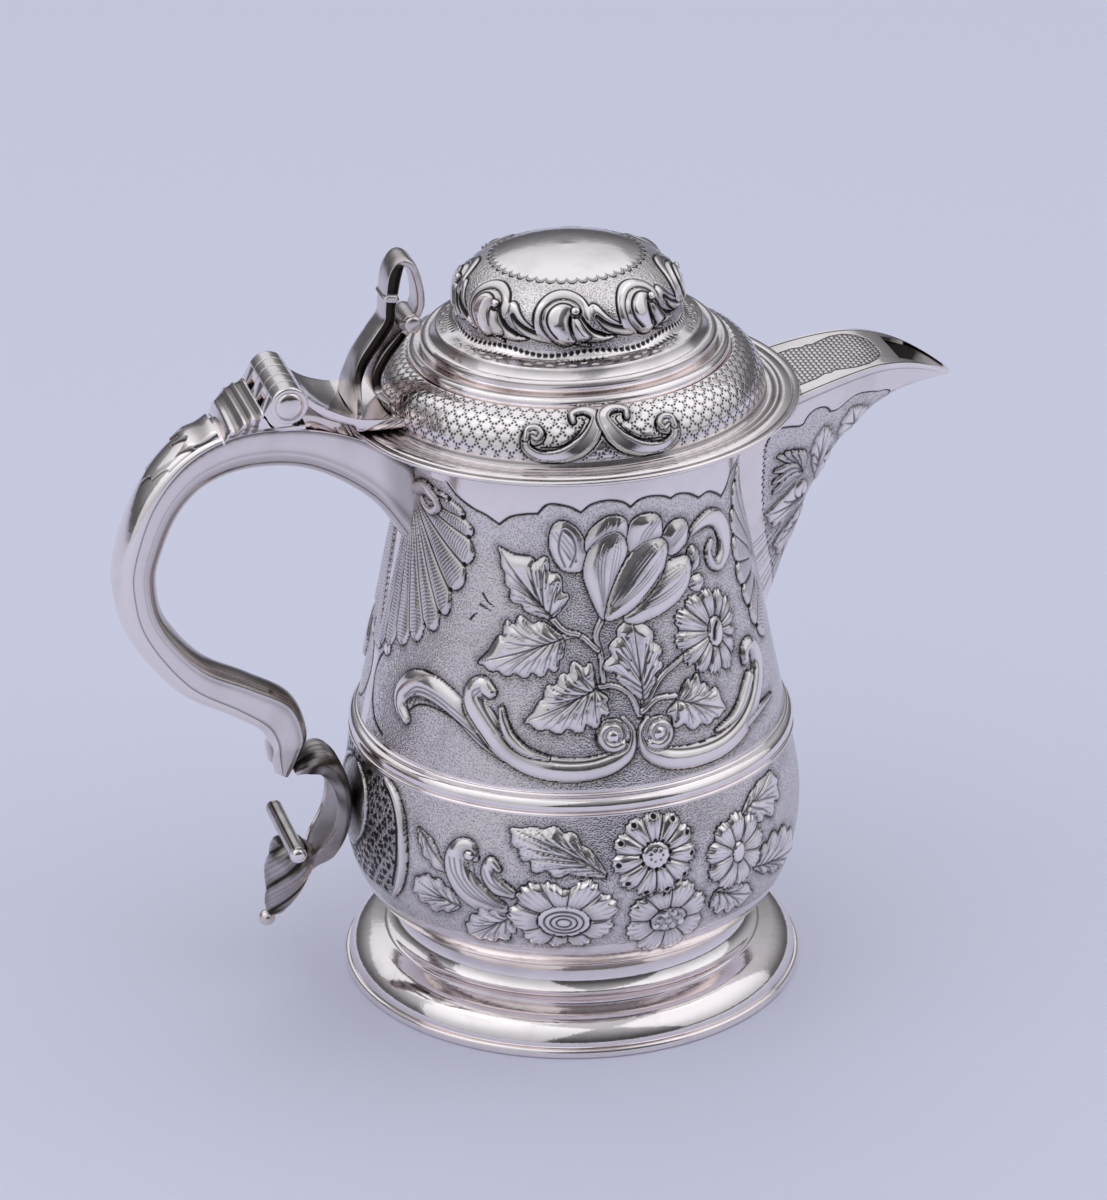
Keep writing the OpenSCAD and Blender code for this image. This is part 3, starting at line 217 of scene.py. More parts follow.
def shell(top, low, ends=True):
    """Points and faces of a plate between two grids of points, closed along its sides and its ends."""
    rows, cols = top.shape[:2]
    n = rows * cols
    quads = grid_quads(rows, cols)
    k, c, last = np.arange(rows - 1) * cols, np.arange(cols - 1), (rows - 1) * cols
    rims = [(k, k + cols), (k + 2 * cols - 1, k + cols - 1)] + ends * [(c + 1, c), (last + c, last + c + 1)]
    faces = [quads[:, ::-1], quads + n] + [np.stack([a, b, b + n, a + n], -1) for a, b in rims]
    return np.concatenate([top.reshape(-1, 3), low.reshape(-1, 3)]), faces


def outward(points, faces):
    """The same closed solid with its faces turned to look outwards."""
    volume = 0.0
    for f in faces:
        f = np.asarray(f)
        for k in range(1, f.shape[1] - 1):
            a, b, c = points[f[:, 0]], points[f[:, k]], points[f[:, k + 1]]
            volume += np.einsum("ij,ij->", a, np.cross(b, c))
    return points, faces if volume > 0 else [np.asarray(f)[:, ::-1] for f in faces]


def left_normals(path):
    """Unit normals to the left of a path in the X-Z plane."""
    t = np.gradient(np.asarray(path, float), axis=0)
    t /= np.linalg.norm(t, axis=1)[:, None]
    return np.stack([-t[:, 1], t[:, 0]], -1)


def round_axis(line, a):
    """Points from (radius, height), with each column turned to its angle a."""
    return np.stack([line[..., 0] * np.cos(a), line[..., 0] * np.sin(a), line[..., 1]], -1)


def joined(*parts):
    """Several (points, faces) pairs as one."""
    points, faces, start = [], [], 0
    for p, f in parts:
        points.append(p)
        faces += [np.asarray(x) + start for x in f]
        start += len(p)
    return np.concatenate(points), faces


# Materials
PUNCH_SCALE = 2100.0  # punch marks to the metre
PUNCH_TONE = 0.7  # how dark the middle of a punch mark is
GROUND_TONE = 0.15  # and the ground between the marks
PATINA_SHADE_DEPTH, PATINA_SHADE_DULL = 1.45, 0.3  # how soon tarnish and painted shade turn fully dark, and how much rougher they make it
CLOUD_SCALE, SCRATCH_SCALE = 90.0, 700.0  # clouds of tarnish and fine scratches to the metre
SCRATCH_DEPTH, PUNCH_DEPTH = 0.0002, 0.00018  # in metres
WEAR = 0.06  # roughness that the scratches add
BRIGHT = (0.94, 0.87, 0.855)


def feed(tree, socket, value):
    """Sets a node's input to a value, or links another node's output to it."""
    if isinstance(value, bpy.types.NodeSocket):
        tree.links.new(value, socket)
    else:
        socket.default_value = value


def node_maker(tree):
    """A function that adds a shader node, feeds its inputs and returns one of its outputs."""
    def add(kind, output, inputs=None, **settings):
        node = tree.nodes.new("ShaderNode" + kind)
        for key, value in settings.items():
            setattr(node, key, value)
        for socket, value in (inputs or {}).items():
            feed(tree, node.inputs[socket], value)
        return node.outputs[output]

    return add


def silver(name, bright, dark, rough, tarnish=0.25, stipple=0.0):
    """Polished silver: darkened by an attribute that carries tarnish and painted shade, faintly clouded, punched
    where the ground attribute is set.
    """
    material = bpy.data.materials.new(name)
    material.use_nodes = True
    tree = material.node_tree
    add = node_maker(tree)
    place = add("TexCoord", "Object")
    patina = add("Attribute", "Fac", attribute_name="patina")
    ground = add("Attribute", "Fac", attribute_name="ground")

    cloud = add("TexNoise", "Fac", {"Vector": place, "Scale": CLOUD_SCALE, "Detail": 6.0})
    smear = add("MapRange", "Result", {"Value": cloud, "From Min": 0.5, "From Max": 0.85, "To Max": tarnish})
    punch = add("TexVoronoi", "Distance", {"Vector": place, "Scale": PUNCH_SCALE})
    mark = add("MapRange", "Result", {"Value": punch, "From Min": 0.12, "From Max": 0.5,
                                      "To Min": PUNCH_TONE, "To Max": GROUND_TONE})
    matt = add("Math", "Value", {0: ground, 1: mark, 2: smear}, operation="MULTIPLY_ADD")
    tone = add("Math", "Value", {0: patina, 1: PATINA_SHADE_DEPTH, 2: matt}, operation="MULTIPLY_ADD", use_clamp=True)
    colour = add("Mix", "Result", {"Factor": tone, "A": (*bright, 1), "B": (*dark, 1)}, data_type="RGBA")

    scratches = add("TexNoise", "Fac", {"Vector": place, "Scale": SCRATCH_SCALE, "Detail": 3.0})
    gloss = add("MapRange", "Result", {"Value": scratches, "From Min": 0.3, "From Max": 0.7,
                                       "To Min": rough, "To Max": rough + WEAR})
    dull = add("Math", "Value", {0: patina, 1: PATINA_SHADE_DULL, 2: gloss}, operation="MULTIPLY_ADD")
    normal = add("Bump", "Normal", {"Height": scratches, "Distance": SCRATCH_DEPTH, "Strength": 0.12})
    if stipple:
        depth = add("Math", "Value", {0: punch, 1: ground}, operation="MULTIPLY")
        normal = add("Bump", "Normal", {"Height": depth, "Distance": PUNCH_DEPTH, "Strength": stipple,
                                        "Normal": normal})
    shader = tree.nodes["Principled BSDF"]
    for socket, value in (("Metallic", 1.0), ("Base Color", colour), ("Roughness", dull), ("Normal", normal)):
        feed(tree, shader.inputs[socket], value)
    return material


POLISHED = silver("silver_polished", BRIGHT, (0.13, 0.1, 0.08), 0.07)
CHASED = silver("silver_chased", BRIGHT, (0.03, 0.027, 0.025), 0.10, stipple=0.7)
CAST = silver("silver_cast", (0.77, 0.7, 0.685), (0.05, 0.04, 0.034), 0.17, tarnish=0.6)
INSIDE = silver("silver_inside", (0.78, 0.77, 0.74), (0.2, 0.18, 0.16), 0.3, tarnish=0.4)

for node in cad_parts.values():
    node.data.materials.clear()
    node.data.materials.append(POLISHED)
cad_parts["body"].data.materials[0] = INSIDE


# Chasing
def closed_curve(points, per_span=6):
    """A smooth closed curve through the points."""
    p = np.asarray(points, float)
    n = len(p)
    t = np.arange(n * per_span) / per_span
    i = t.astype(int)
    return catmull_rom(p[(i - 1) % n], p[i], p[(i + 1) % n], p[(i + 2) % n], (t - i)[:, None])


def to_path(X, Y, path):
    """For every grid point: the distance to an open path, how far along it (0 to 1), and the side (1 is left)."""
    best, along, side = np.full(X.shape, 1e9), np.zeros(X.shape), np.ones(X.shape)
    lengths = np.hypot(*np.diff(path, axis=0).T) + 1e-9
    starts = np.concatenate([[0], np.cumsum(lengths)])
    for (ax, ay), (bx, by), length, start in zip(path[:-1], path[1:], lengths, starts):
        dx, dy = (bx - ax) / length, (by - ay) / length
        t = np.clip((X - ax) * dx + (Y - ay) * dy, 0, length)
        ex, ey = X - ax - t * dx, Y - ay - t * dy
        far = ex * ex + ey * ey
        near = far < best
        best = np.where(near, far, best)
        along = np.where(near, start + t, along)
        side = np.where(near, np.where(dx * ey - dy * ex >= 0, 1.0, -1.0), side)
    return np.sqrt(best), along / starts[-1], side


def inside_of(X, Y, outline):
    """Which grid points lie inside a closed outline."""
    odd = np.zeros(X.shape, bool)
    for (ax, ay), (bx, by) in zip(outline, np.roll(outline, -1, 0)):
        if ay != by:
            cross = ((ay > Y) != (by > Y)) & (X < ax + (Y - ay) * (bx - ax) / (by - ay))
            odd ^= cross
    return odd


def pillow(depth, edge):
    """A rounded rise from 0 at the rim to 1 at edge millimetres inside it."""
    return np.sin(0.5 * math.pi * np.clip(depth / edge, 0, 1))


FORM_MARGIN, CUT_MARGIN = 2.5, 1.5  # how far round a form or a line the sheet is worked
FOOT_TARNISH_SHADE_TONE, FOOT_REACH = 0.27, 1.4  # tarnish and painted shade on the ground round a raised form's foot
EDGE_SHADE_TONE, EDGE_SHADE_REACH = 0.22, 0.8  # painted shade up its sides


class Chasing:
    """A sheet under the hammer: its relief in millimetres, dark recesses, painted shade round raised forms and
    punched ground, by rows and columns.

    Points are given as (across, along); across is in any unit, worth scale(along) millimetres.
    """

    def __init__(self, across, along, scale):
        self.across, self.along, self.scale = np.asarray(across, float), np.asarray(along, float), scale
        shape = (len(along), len(across))
        self.height, self.dark, self.ground = np.zeros(shape), np.zeros(shape), np.zeros(shape)

    def local(self, points, margin):
        """The points in millimetres, the part of the sheet round them, and its grid in millimetres."""
        p = np.asarray(points, float)
        k = float(self.scale(p[:, 1].mean()))
        q = p * (k, 1)
        low, high = q.min(0) - margin, q.max(0) + margin
        c = np.flatnonzero((self.across * k >= low[0]) & (self.across * k <= high[0]))
        r = np.flatnonzero((self.along >= low[1]) & (self.along <= high[1]))
        part = tuple(slice(i[0], i[-1] + 1) if len(i) else slice(0, 0) for i in (r, c))
        X, Y = np.meshgrid(self.across[part[1]] * k, self.along[part[0]])
        return q, part, X, Y

    def lay(self, part, mask, height, gap, outline=0.85, groove=0.22, reach=0.4, depth=None):
        """Puts a raised form on the sheet.

        mask is 1 on the form, gap is the distance outside it and depth the distance inside its edge.
        """
        h, d, g = self.height[part], self.dark[part], self.ground[part]
        rim = np.where(mask, 0, bell(gap, reach))
        # tarnish and painted shade on the ground round the form's foot, and painted shade up the form's sides
        foot = np.where(mask, 0, bell(gap, FOOT_REACH)) * FOOT_TARNISH_SHADE_TONE * (outline > 0)
        within = 0.0 if depth is None else EDGE_SHADE_TONE * bell(depth, EDGE_SHADE_REACH) * (outline > 0)
        h[...] = np.where(mask, height, h - groove * rim)
        d[...] = np.where(mask, within, np.maximum(d, np.maximum(outline * rim, foot)))
        g[...] = np.where(mask, 0.0, g * (1 - rim))

    def stain(self, part, tone):
        """Darkens a part of the sheet where it is lighter than the tone."""
        self.dark[part] = np.maximum(self.dark[part], tone)

    def patch(self, shape, height, base=0.1, edge=1.6, **rim):
        """A pillow with a given shape."""
        q, part, X, Y = self.local(shape, FORM_MARGIN)
        line = closed_curve(q)
        mask = inside_of(X, Y, line)
        gap = to_path(X, Y, np.vstack([line, line[:1]]))[0]
        self.lay(part, mask, base + height * pillow(gap, edge), gap, depth=gap, **rim)

    def cut(self, points, width=0.3, depth=0.22, dark=0.8, count=24, taper=False):
        """An engraved line."""
        q, part, X, Y = self.local(points, CUT_MARGIN)
        gap, t, _ = to_path(X, Y, spline(q, count))
        w = width * (np.sqrt(np.maximum(0.05, 1 - t)) if taper else 1)
        mark = bell(gap, w)
        self.height[part] -= depth * mark
        self.stain(part, dark * mark)

    def ridge(self, points, widths, height, base=0.1, style="round", count=60, **rim):
        """A raised band along a curve; widths are its half widths, spread evenly along it."""
        q, part, X, Y = self.local(points, max(widths) + FORM_MARGIN)
        gap, t, side = to_path(X, Y, spline(q, count))
        w = np.interp(t, np.linspace(0, 1, len(widths)), widths)
        s = np.clip(gap / w, 0, 1) * side
        if style == "round":
            form = np.maximum(0, 1 - s * s) ** 0.7
        elif style == "channel":
            form = np.where(np.abs(s) > 0.62, arc(((np.abs(s) - 0.75) / 0.26) ** 2), 0.45 + 0.1 * s * s)
            form = np.maximum(form, 0.25 * arc(s * s))
        else:
            form = arc(np.abs(s) ** 3) * (0.8 + 0.2 * s)
        top = base + height * form * np.minimum(1, w / max(widths) + 0.35)
        mask = gap < w
        self.lay(part, mask, top, np.maximum(gap - w, 0), depth=np.maximum(w - gap, 0), **rim)
        if style == "channel":
            lines = bell((np.abs(s) - 0.6) * w, 0.22) * mask
            self.stain(part, 0.55 * lines * (w > 0.6))

    def boss(self, centre, size, height, base=0.1, **rim):
        """A round or oval button; size is its half width and half height in millimetres."""
        q, part, X, Y = self.local([centre], max(size) + FORM_MARGIN)
        r = np.hypot((X - q[0, 0]) / size[0], (Y - q[0, 1]) / size[1])
        self.lay(part, r < 1, base + height * arc(r * r), np.maximum(r - 1, 0) * min(size), **rim)

    def pit(self, centre, radius, depth=0.35, dark=0.95):
        """A round punch mark."""
        q, part, X, Y = self.local([centre], radius + 1)
        mark = smoothstep(-np.hypot(X - q[0, 0], Y - q[0, 1]), -radius - 0.15, -radius + 0.2)
        self.height[part] -= depth * mark
        self.stain(part, dark * mark)

    def leaf(self, base_at, tip, one_side, other_side, height=0.9, base=0.15, notch=0.32, bend=0.0, edge=2.8,
             **rim):
        """A lobed leaf from its stem to its tip; each side lists the points of its lobes, from the stem on."""
        base_at, tip = np.array(base_at, float), np.array(tip, float)
        axis = tip - base_at
        across = np.array([-axis[1], axis[0]])
        spine = lambda t: base_at + axis * t + across * bend * 4 * t * (1 - t)

        def side(lobes):
            lobes = [np.array(p, float) for p in lobes] + [tip]
            line, before = [], base_at
            for a, b in zip(lobes[:-1], lobes[1:]):
                t = np.clip(((a + b) / 2 - base_at) @ axis / (axis @ axis), 0.05, 0.97)
                valley = (a + b) / 2 + (spine(t) - (a + b) / 2) * notch * 0.42
                # each lobe is rounded between two points
                end = a + (a - spine(np.clip((a - base_at) @ axis / (axis @ axis), 0, 0.9))) * 0.14
                line += [end + (before - end) * 0.3, end + (valley - end) * 0.34, valley]
                before = valley
            return line

        first, second = side(one_side), side(other_side)
        self.patch([base_at] + first + [tip] + second[::-1], height, base, edge=edge, **rim)
        self.cut([spine(t) for t in (0, 0.25, 0.5, 0.75, 0.95)], 0.34, 0.3, 0.7, taper=True)
        for lobe in list(one_side) + list(other_side):
            lobe = np.array(lobe, float)
            t = np.clip((lobe - base_at) @ axis / (axis @ axis), 0, 0.9)
            root = spine(max(t * 0.34 - 0.02, 0.02))
            middle = root + (lobe - root) * 0.5 + (spine(min(t, 0.95)) - lobe) * 0.08
            self.cut([root, middle, lobe + (root - lobe) * 0.12], 0.3, 0.3, 0.6, 12, taper=True)
            along = lobe - root
            for turn in (-0.13, 0.13):
                off = np.array([-along[1], along[0]]) * turn
                vein = [root + along * far + off * wide for far, wide in ((0.4, 0.35), (0.65, 0.8), (0.86, 1))]
                self.cut(vein, 0.2, 0.12, 0.4, 8, taper=True)

    def flower(self, centre, reach, petals, heart, height=0.8, base=0.15, turn=0.0, waist=0.16, lines=2, cup=0.5,
               ruffle=0.025):
        """Petals round a heart; reach is a radius in millimetres or points that the petals run out to."""
        far = np.asarray(reach, float) if np.ndim(reach) else None
        places, margin = ([centre], reach) if far is None else (np.vstack([[centre], far]), 2)
        q, part, X, Y = self.local(places, margin + FORM_MARGIN)
        x, y = X - q[0, 0], Y - q[0, 1]
        r, a = np.hypot(x, y), np.arctan2(y, x)
        if far is None:
            limit = np.full(r.shape, float(reach))
        else:
            d = q[1:] - q[0]
            angle, size = np.arctan2(d[:, 1], d[:, 0]), np.hypot(*d.T)
            order = np.argsort(angle)
            angle, size = angle[order], size[order]
            limit = np.interp(a, np.concatenate([angle[-1:] - 2 * math.pi, angle, angle[:1] + 2 * math.pi]),
                              np.concatenate([size[-1:], size, size[:1]]))
        phase = petals * (a - turn) / 2
        lobe = np.abs(np.cos(phase))
        edge = limit * (1 - waist + waist * lobe**0.6) * (1 + ruffle * np.cos(petals * 4 * (a - turn)))
        u = np.clip(r / edge, 0, 1.2)
        form = (0.35 + 0.65 * lobe**0.5) * (cup + (1 - cup) * np.sin(np.clip(u, 0, 1) * math.pi * 0.75))
        form = form * pillow(edge - r, 1.8)
        self.lay(part, r < edge, base + height * form, np.maximum(r - edge, 0))
        seam = bell(np.abs(np.cos(phase)) * r / petals * 2, 0.22) * (r < edge) * (u > 0.3)
        dark = np.maximum(self.dark[part], 0.8 * seam)
        self.height[part] -= 0.16 * seam
        if lines:
            fine = np.abs(np.sin(phase * (lines + 1) + math.pi / 2 * (lines + 1)))
            fine = bell(fine * r / petals, 0.25) * (r < edge) * smoothstep(-u, -0.78, -0.4)
            dark = np.maximum(dark, 0.4 * fine)
            self.height[part] -= 0.07 * fine
        rim = np.abs(np.sin(petals * 2.5 * (a - turn))) * r / (petals * 2.5)
        rim = bell(rim, 0.17) * (r < edge) * smoothstep(u, 0.6, 0.85)
        self.height[part] -= 0.08 * rim
        self.dark[part] = np.maximum(dark, 0.4 * rim)
        if heart:
            self.boss(centre, heart, 0.6, base + 0.5)

    def volute(self, centre, radius, turns, start, width, height=1.1, base=0.15, clockwise=False):
        """A spiral ending of a scroll, from its rim inwards to an eye."""
        k = float(self.scale(centre[1]))
        t = np.linspace(0, 1, 14 * max(1, round(turns)))
        a = start + (-1 if clockwise else 1) * 2 * math.pi * turns * t
        r = radius * (1 - 0.5 * t)
        path = np.stack([centre[0] + r * np.cos(a) / k, centre[1] + r * np.sin(a)], -1)
        self.boss(centre, (radius + width * 0.7, radius + width * 0.7), height * 0.5, base, groove=0.25)
        self.ridge(path, [width, width * 0.9, width * 0.75, width * 0.6], height, base + 0.2, outline=0.7, groove=0.3,
                   reach=0.35)
        self.boss(centre, (width * 1.05, width * 1.05), height * 0.8, base + 0.4, outline=0.6)


def fan(sheet, focus, edge, ribs, height=0.6, base=0.15):
    """A shell: flutes from a focus to a scalloped edge, with fine ticks across them."""
    q, part, X, Y = sheet.local([focus] + list(edge), 3)
    x, y = X - q[0, 0], Y - q[0, 1]
    r, a = np.hypot(x, y), np.arctan2(y, x)
    d = spline(q[1:], 60) - q[0]
    angle, size = np.unwrap(np.arctan2(d[:, 1], d[:, 0])), np.hypot(*d.T)
    order = np.argsort(angle)
    angle, size = angle[order], size[order]
    a = angle[0] + np.mod(a - angle[0], 2 * math.pi)
    within = (a > angle[0]) & (a < angle[-1])
    u = np.interp(a, angle, np.linspace(0, 1, len(angle))) * ribs
    wave = np.abs(np.sin(math.pi * u))
    limit = np.interp(a, angle, size) * (0.9 + 0.1 * wave**0.6)
    mask = within & (r < limit)
    rise = smoothstep(r, 2, 10)
    form = rise * (0.25 + 0.75 * wave**0.8) * pillow(limit - r, 1.4)
    sheet.lay(part, mask, base + height * form, np.where(within, np.maximum(r - limit, 0), 9))
    valley = bell(np.sin(math.pi * u) * r * np.gradient(angle).mean() * 60 / ribs, 0.5) * mask * smoothstep(r, 3, 8)
    tick = bell(np.sin(math.pi * (r + 0.5 * wave) / 0.85), 0.4) * mask * smoothstep(wave, 0.3, 0.6) * smoothstep(r,
            4, 8)
    tick = tick * (limit - r > 1.4)
    sheet.height[part] -= 0.12 * valley + 0.07 * tick
    sheet.stain(part, np.maximum(0.75 * valley, 0.5 * tick) + 0.12 * mask)
    k = np.linspace(0, 1, ribs + 1)[1:-1]
    for x, y in spline(edge, 200)[(k * 199).astype(int)]:
        toward = np.array(focus) - (x, y)
        sheet.pit((x + toward[0] * 0.07, y + toward[1] * 0.07), 0.6)


# Outlines of the tulip's petals on the body; places are degrees from the viewer's side and height
TULIP_BACK = [
    [(-2.2, 125), (-5.3, 127.8), (-7, 131.7), (-5.8, 136.1), (-2.2, 137.6), (2.2, 135.6), (5.6, 131.1),
     (6.1, 127.8), (3.3, 124.7)],
    [(5, 130), (6.1, 134.4), (10.6, 137.6), (14.4, 138.4), (18.3, 137.2), (19.7, 133.3), (18.3, 129.8), (11, 128)],
    [(19.2, 129), (19.4, 133.9), (21.7, 136.9), (26.1, 137.6), (30.6, 136.4), (32, 133.3), (31.1, 129), (25, 127)],
    [(31.7, 130), (34.4, 133.3), (38.3, 134.1), (42, 132.8), (42.6, 129.4), (39.4, 126.4), (34.4, 125.5)],
    [(40.6, 120), (40.6, 123.9), (43.3, 126.4), (46.3, 124.4), (45.6, 120.9)],
    [(40.3, 116.7), (42.2, 118.9), (45.6, 118.7), (46.7, 116.7), (43.9, 114.7)],
]
TULIP_FRONT = [
    [(16.7, 113.3), (22.2, 118.9), (29.4, 123.3), (37.8, 124.7), (41.7, 123.3), (40.6, 118.3), (35.6, 114.4),
     (26.7, 111.7), (18.9, 111.1)],
    [(9.4, 113.3), (6.1, 118.9), (4.2, 124.4), (6.1, 130), (11.1, 133.6), (15.6, 134.1), (18.3, 131.7),
     (18.7, 128.3), (15.6, 123.9), (13.3, 119.4), (11.1, 113.9)],
    [(10.6, 113.3), (12.8, 119.4), (17.8, 126.1), (23.3, 130), (29.4, 130.9), (32.8, 129.4), (33.1, 126.1),
     (29.4, 121.1), (22.2, 116.1), (14.4, 112.8)],
]
# Stem end, tip, lobes of the one side and of the other
LEAVES = [
    ((-5.6, 113.6), (-24, 129.4), [(-0.3, 118.2), (-3.6, 123.2), (-8.2, 128), (-13, 127.5)],
     [(-13, 114.5), (-18.6, 117.2), (-20.6, 121), (-22.6, 125)]),
    ((-2.2, 108.6), (-28, 100.8), [(-8, 112.3), (-15.5, 113), (-19.9, 111.4), (-22.2, 107.2)],
     [(-2.2, 104.6), (-4.2, 101), (-8.4, 99.6), (-13.4, 99), (-19, 98.8), (-24, 99.2)]),
    ((7.6, 96.4), (-12.8, 88), [(6.4, 102.4), (0.8, 102.6), (-2.6, 99.4), (-6.8, 96.6), (-9, 92.6)],
     [(10.6, 94), (10.6, 90.4), (7.2, 87.2), (2.4, 86.2), (-3.4, 85.8), (-9, 86.2)]),
    ((20.8, 92.4), (18.8, 114), [(14.5, 97.5), (9.8, 101.4), (12.2, 106.6), (14.6, 110.2)],
     [(24.5, 96), (27.3, 99.6), (27.4, 103.6), (25, 108.6)]),
    ((31, 90.6), (48.2, 84.2), [(35, 94.6), (38.8, 95.2), (41.4, 92), (45.6, 90)],
     [(27.6, 88.4), (29.5, 84.4), (35.5, 82.6), (41, 82.4), (45.2, 83)]),
]
STEMS = [
    [(19.6, 88.6), (21, 92), (21, 97)], [(19.4, 89), (17, 94), (12.5, 96.6), (7.6, 96.6)],
    [(20.6, 90), (26, 96.4), (32, 99.4), (38, 101.4)],
    [(20.4, 89.6), (25, 92), (31, 91.6)], [(9.6, 113), (7.6, 109), (9, 104), (9.4, 98)],
    [(-3, 108.8), (2.6, 109.4), (8, 105.6)],
    [(-6, 113.6), (-2, 110.6), (2.2, 109.6)],
]
VEIN, FURROW = (0.26, 0.16, 0.5), (0.3, 0.25, 0.75)  # strokes: half width, depth, tone
GROUND_BELOW, GROUND_ABOVE = 65.2, 71.6  # the punched ground stops short of the girdle


def chase_tulip(c):
    """The tulip with its leaves and stems."""
    heart = np.array((10.5, 113.6))
    for stem in STEMS:
        c.ridge(stem, [0.75, 0.6, 0.6], 0.45, 0.1, count=20)
    for leaf in LEAVES:
        c.leaf(*leaf)
    c.ridge([(40.6, 127.2), (45.6, 130), (52.2, 131.1), (57.8, 129.4), (60.6, 125.6), (58.9, 121.1), (54.4, 118.9),
             (51.1, 120.6), (50.6, 123.3), (52.8, 125)], [0.5, 1.3, 2.0, 2.4, 2.6, 2.2, 1.6, 1.1, 0.8], 0.9,
            style="lip")
    c.cut([(43, 128.6), (49, 129.6), (54.6, 128.4), (56.6, 124.8), (55, 121.8)], 0.3, 0.2, 0.6)
    for petal in TULIP_BACK:
        c.patch(petal, 0.95, 0.15, 3.2)
        middle = np.mean(petal, 0)
        top = max(petal, key=lambda p: np.hypot(*(np.array(p) - heart)))
        root = middle + (heart - middle) * 0.18
        for shift in (-1.6, 0, 1.6):
            end = np.array(top) * 0.75 + middle * 0.25
            c.cut([root + (shift * 0.4, 0), middle + (shift, 0), end + (shift * 1.1, 0)], 0.26, 0.12, 0.34, 10)
    c.cut([(-1.6, 126), (-3.6, 130.6), (-2.4, 135.4), (0.6, 134), (1.8, 130), (0, 126)], 0.3, 0.18, 0.6)
    for petal in TULIP_FRONT:
        c.patch(petal, 1.05, 0.4, 4.4)
        edge = np.array(petal)
        n = len(edge)
        tip = edge[np.argmax(np.hypot(*(edge - heart).T))]
        for share in (-0.7, -0.48, -0.26, 0.26, 0.48, 0.7):
            a, b = edge[int(n * 0.3)], edge[int(n * 0.72)]
            side = (a + b) / 2 + (b - a) / 2 * share
            end = tip + (side - tip) * 0.3
            vein = [heart + (side - heart) * 0.18, side + (heart - side) * 0.3, side + (end - side) * 0.4, end]
            c.cut(vein, 0.22, 0.12, 0.42, 14, taper=True)


def chase_scrolls(c):
    """The scrolls under the tulip."""
    # sweep to the left and its crest
    c.ridge([(-51.4, 81), (-54.4, 83.4), (-54.6, 87), (-50, 90.4), (-43, 91), (-36, 89.4), (-30, 86.6), (-24, 82.6),
             (-18, 79)],
            [1.4, 2.4, 3.1, 3.4, 3.2, 2.8, 2.6, 2.2, 1.4], 1.15)
    for drop in (0, 1.3, 2.5):
        c.cut([(-52.6 + drop, 86.4 - drop), (-47.6, 90.2 - drop), (-41, 90.4 - drop), (-34, 88.4 - drop),
               (-27, 85.4 - drop)], *VEIN)
    c.cut([(-51, 83), (-47.6, 85.6), (-42, 86.6), (-35, 85.6), (-28, 83.4), (-21, 79.4)], 0.3, 0.25, 0.7)
    c.cut([(-52.6, 86), (-48, 89), (-42, 89.6), (-36, 88)], 0.28, 0.15, 0.45)
    # the two C-scrolls
    c.ridge([(14.6, 88.6), (16.6, 85.2), (15.4, 81), (11.6, 78.4), (6, 77), (0, 76.6), (-7, 77.2), (-13, 78.8),
             (-19, 82), (-23.4, 86), (-27.6, 90), (-28.4, 93.4), (-26, 95.4), (-23.4, 94)],
            [0.6, 1.3, 2.3, 2.7, 2.8, 2.9, 3.0, 3.0, 3.0, 3.0, 3.2, 3.1, 2.6, 1.7], 1.3)
    for shift in (0, 1.4):
        c.cut([(-20.6 - shift, 84.4 + shift), (-24.8 - shift, 88.6 + shift), (-27.6 - 0.4 * shift, 92 + shift),
               (-26, 94.2 + 0.5 * shift)], *VEIN)
    c.cut([(13, 80.8), (6, 79), (-1, 78.6), (-8, 79.4), (-14, 81.4), (-19.4, 85), (-23.6, 89), (-25.6, 92)],
          *FURROW)
    c.ridge([(-19.6, 90.4), (-18.6, 87), (-16.4, 83.6), (-12, 80.8), (-6, 79.4)], [0.7, 1.2, 1.2, 0.9, 0.4], 0.75,
            0.5)
    c.volute((11.4, 84.7), 3.0, 1.0, -0.9, 1.5, clockwise=True)
    c.ridge([(21.6, 87.8), (19.6, 84.4), (20.8, 80.6), (24.6, 77.8), (30, 76.4), (37.8, 75.8), (46, 76.4),
             (54, 78.6), (60.4, 82.6), (65.4, 88), (66.4, 92.4), (64, 95.6), (60.6, 95.4), (59.6, 93)],
            [0.6, 1.3, 2.3, 2.7, 2.8, 2.8, 2.9, 2.9, 2.9, 2.9, 2.8, 2.4, 1.9, 1.3], 1.3)
    c.cut([(23.4, 80.4), (30, 78.6), (38, 77.8), (46, 78.4), (53.6, 80.8), (59.4, 84.6), (63.4, 89.4)], *FURROW)
    c.ridge([(60.2, 88.4), (58, 86.6), (55, 84), (50, 81.4), (43, 80)], [1.5, 1.5, 1.2, 0.8, 0.3], 0.75, 0.5)
    c.volute((24.5, 83.9), 3.0, 1.0, math.pi + 0.9, 1.5)
    c.ridge([(56, 78), (64, 79.2), (72, 79.6)], [1.2, 1.0, 0.4], 0.6, style="lip")


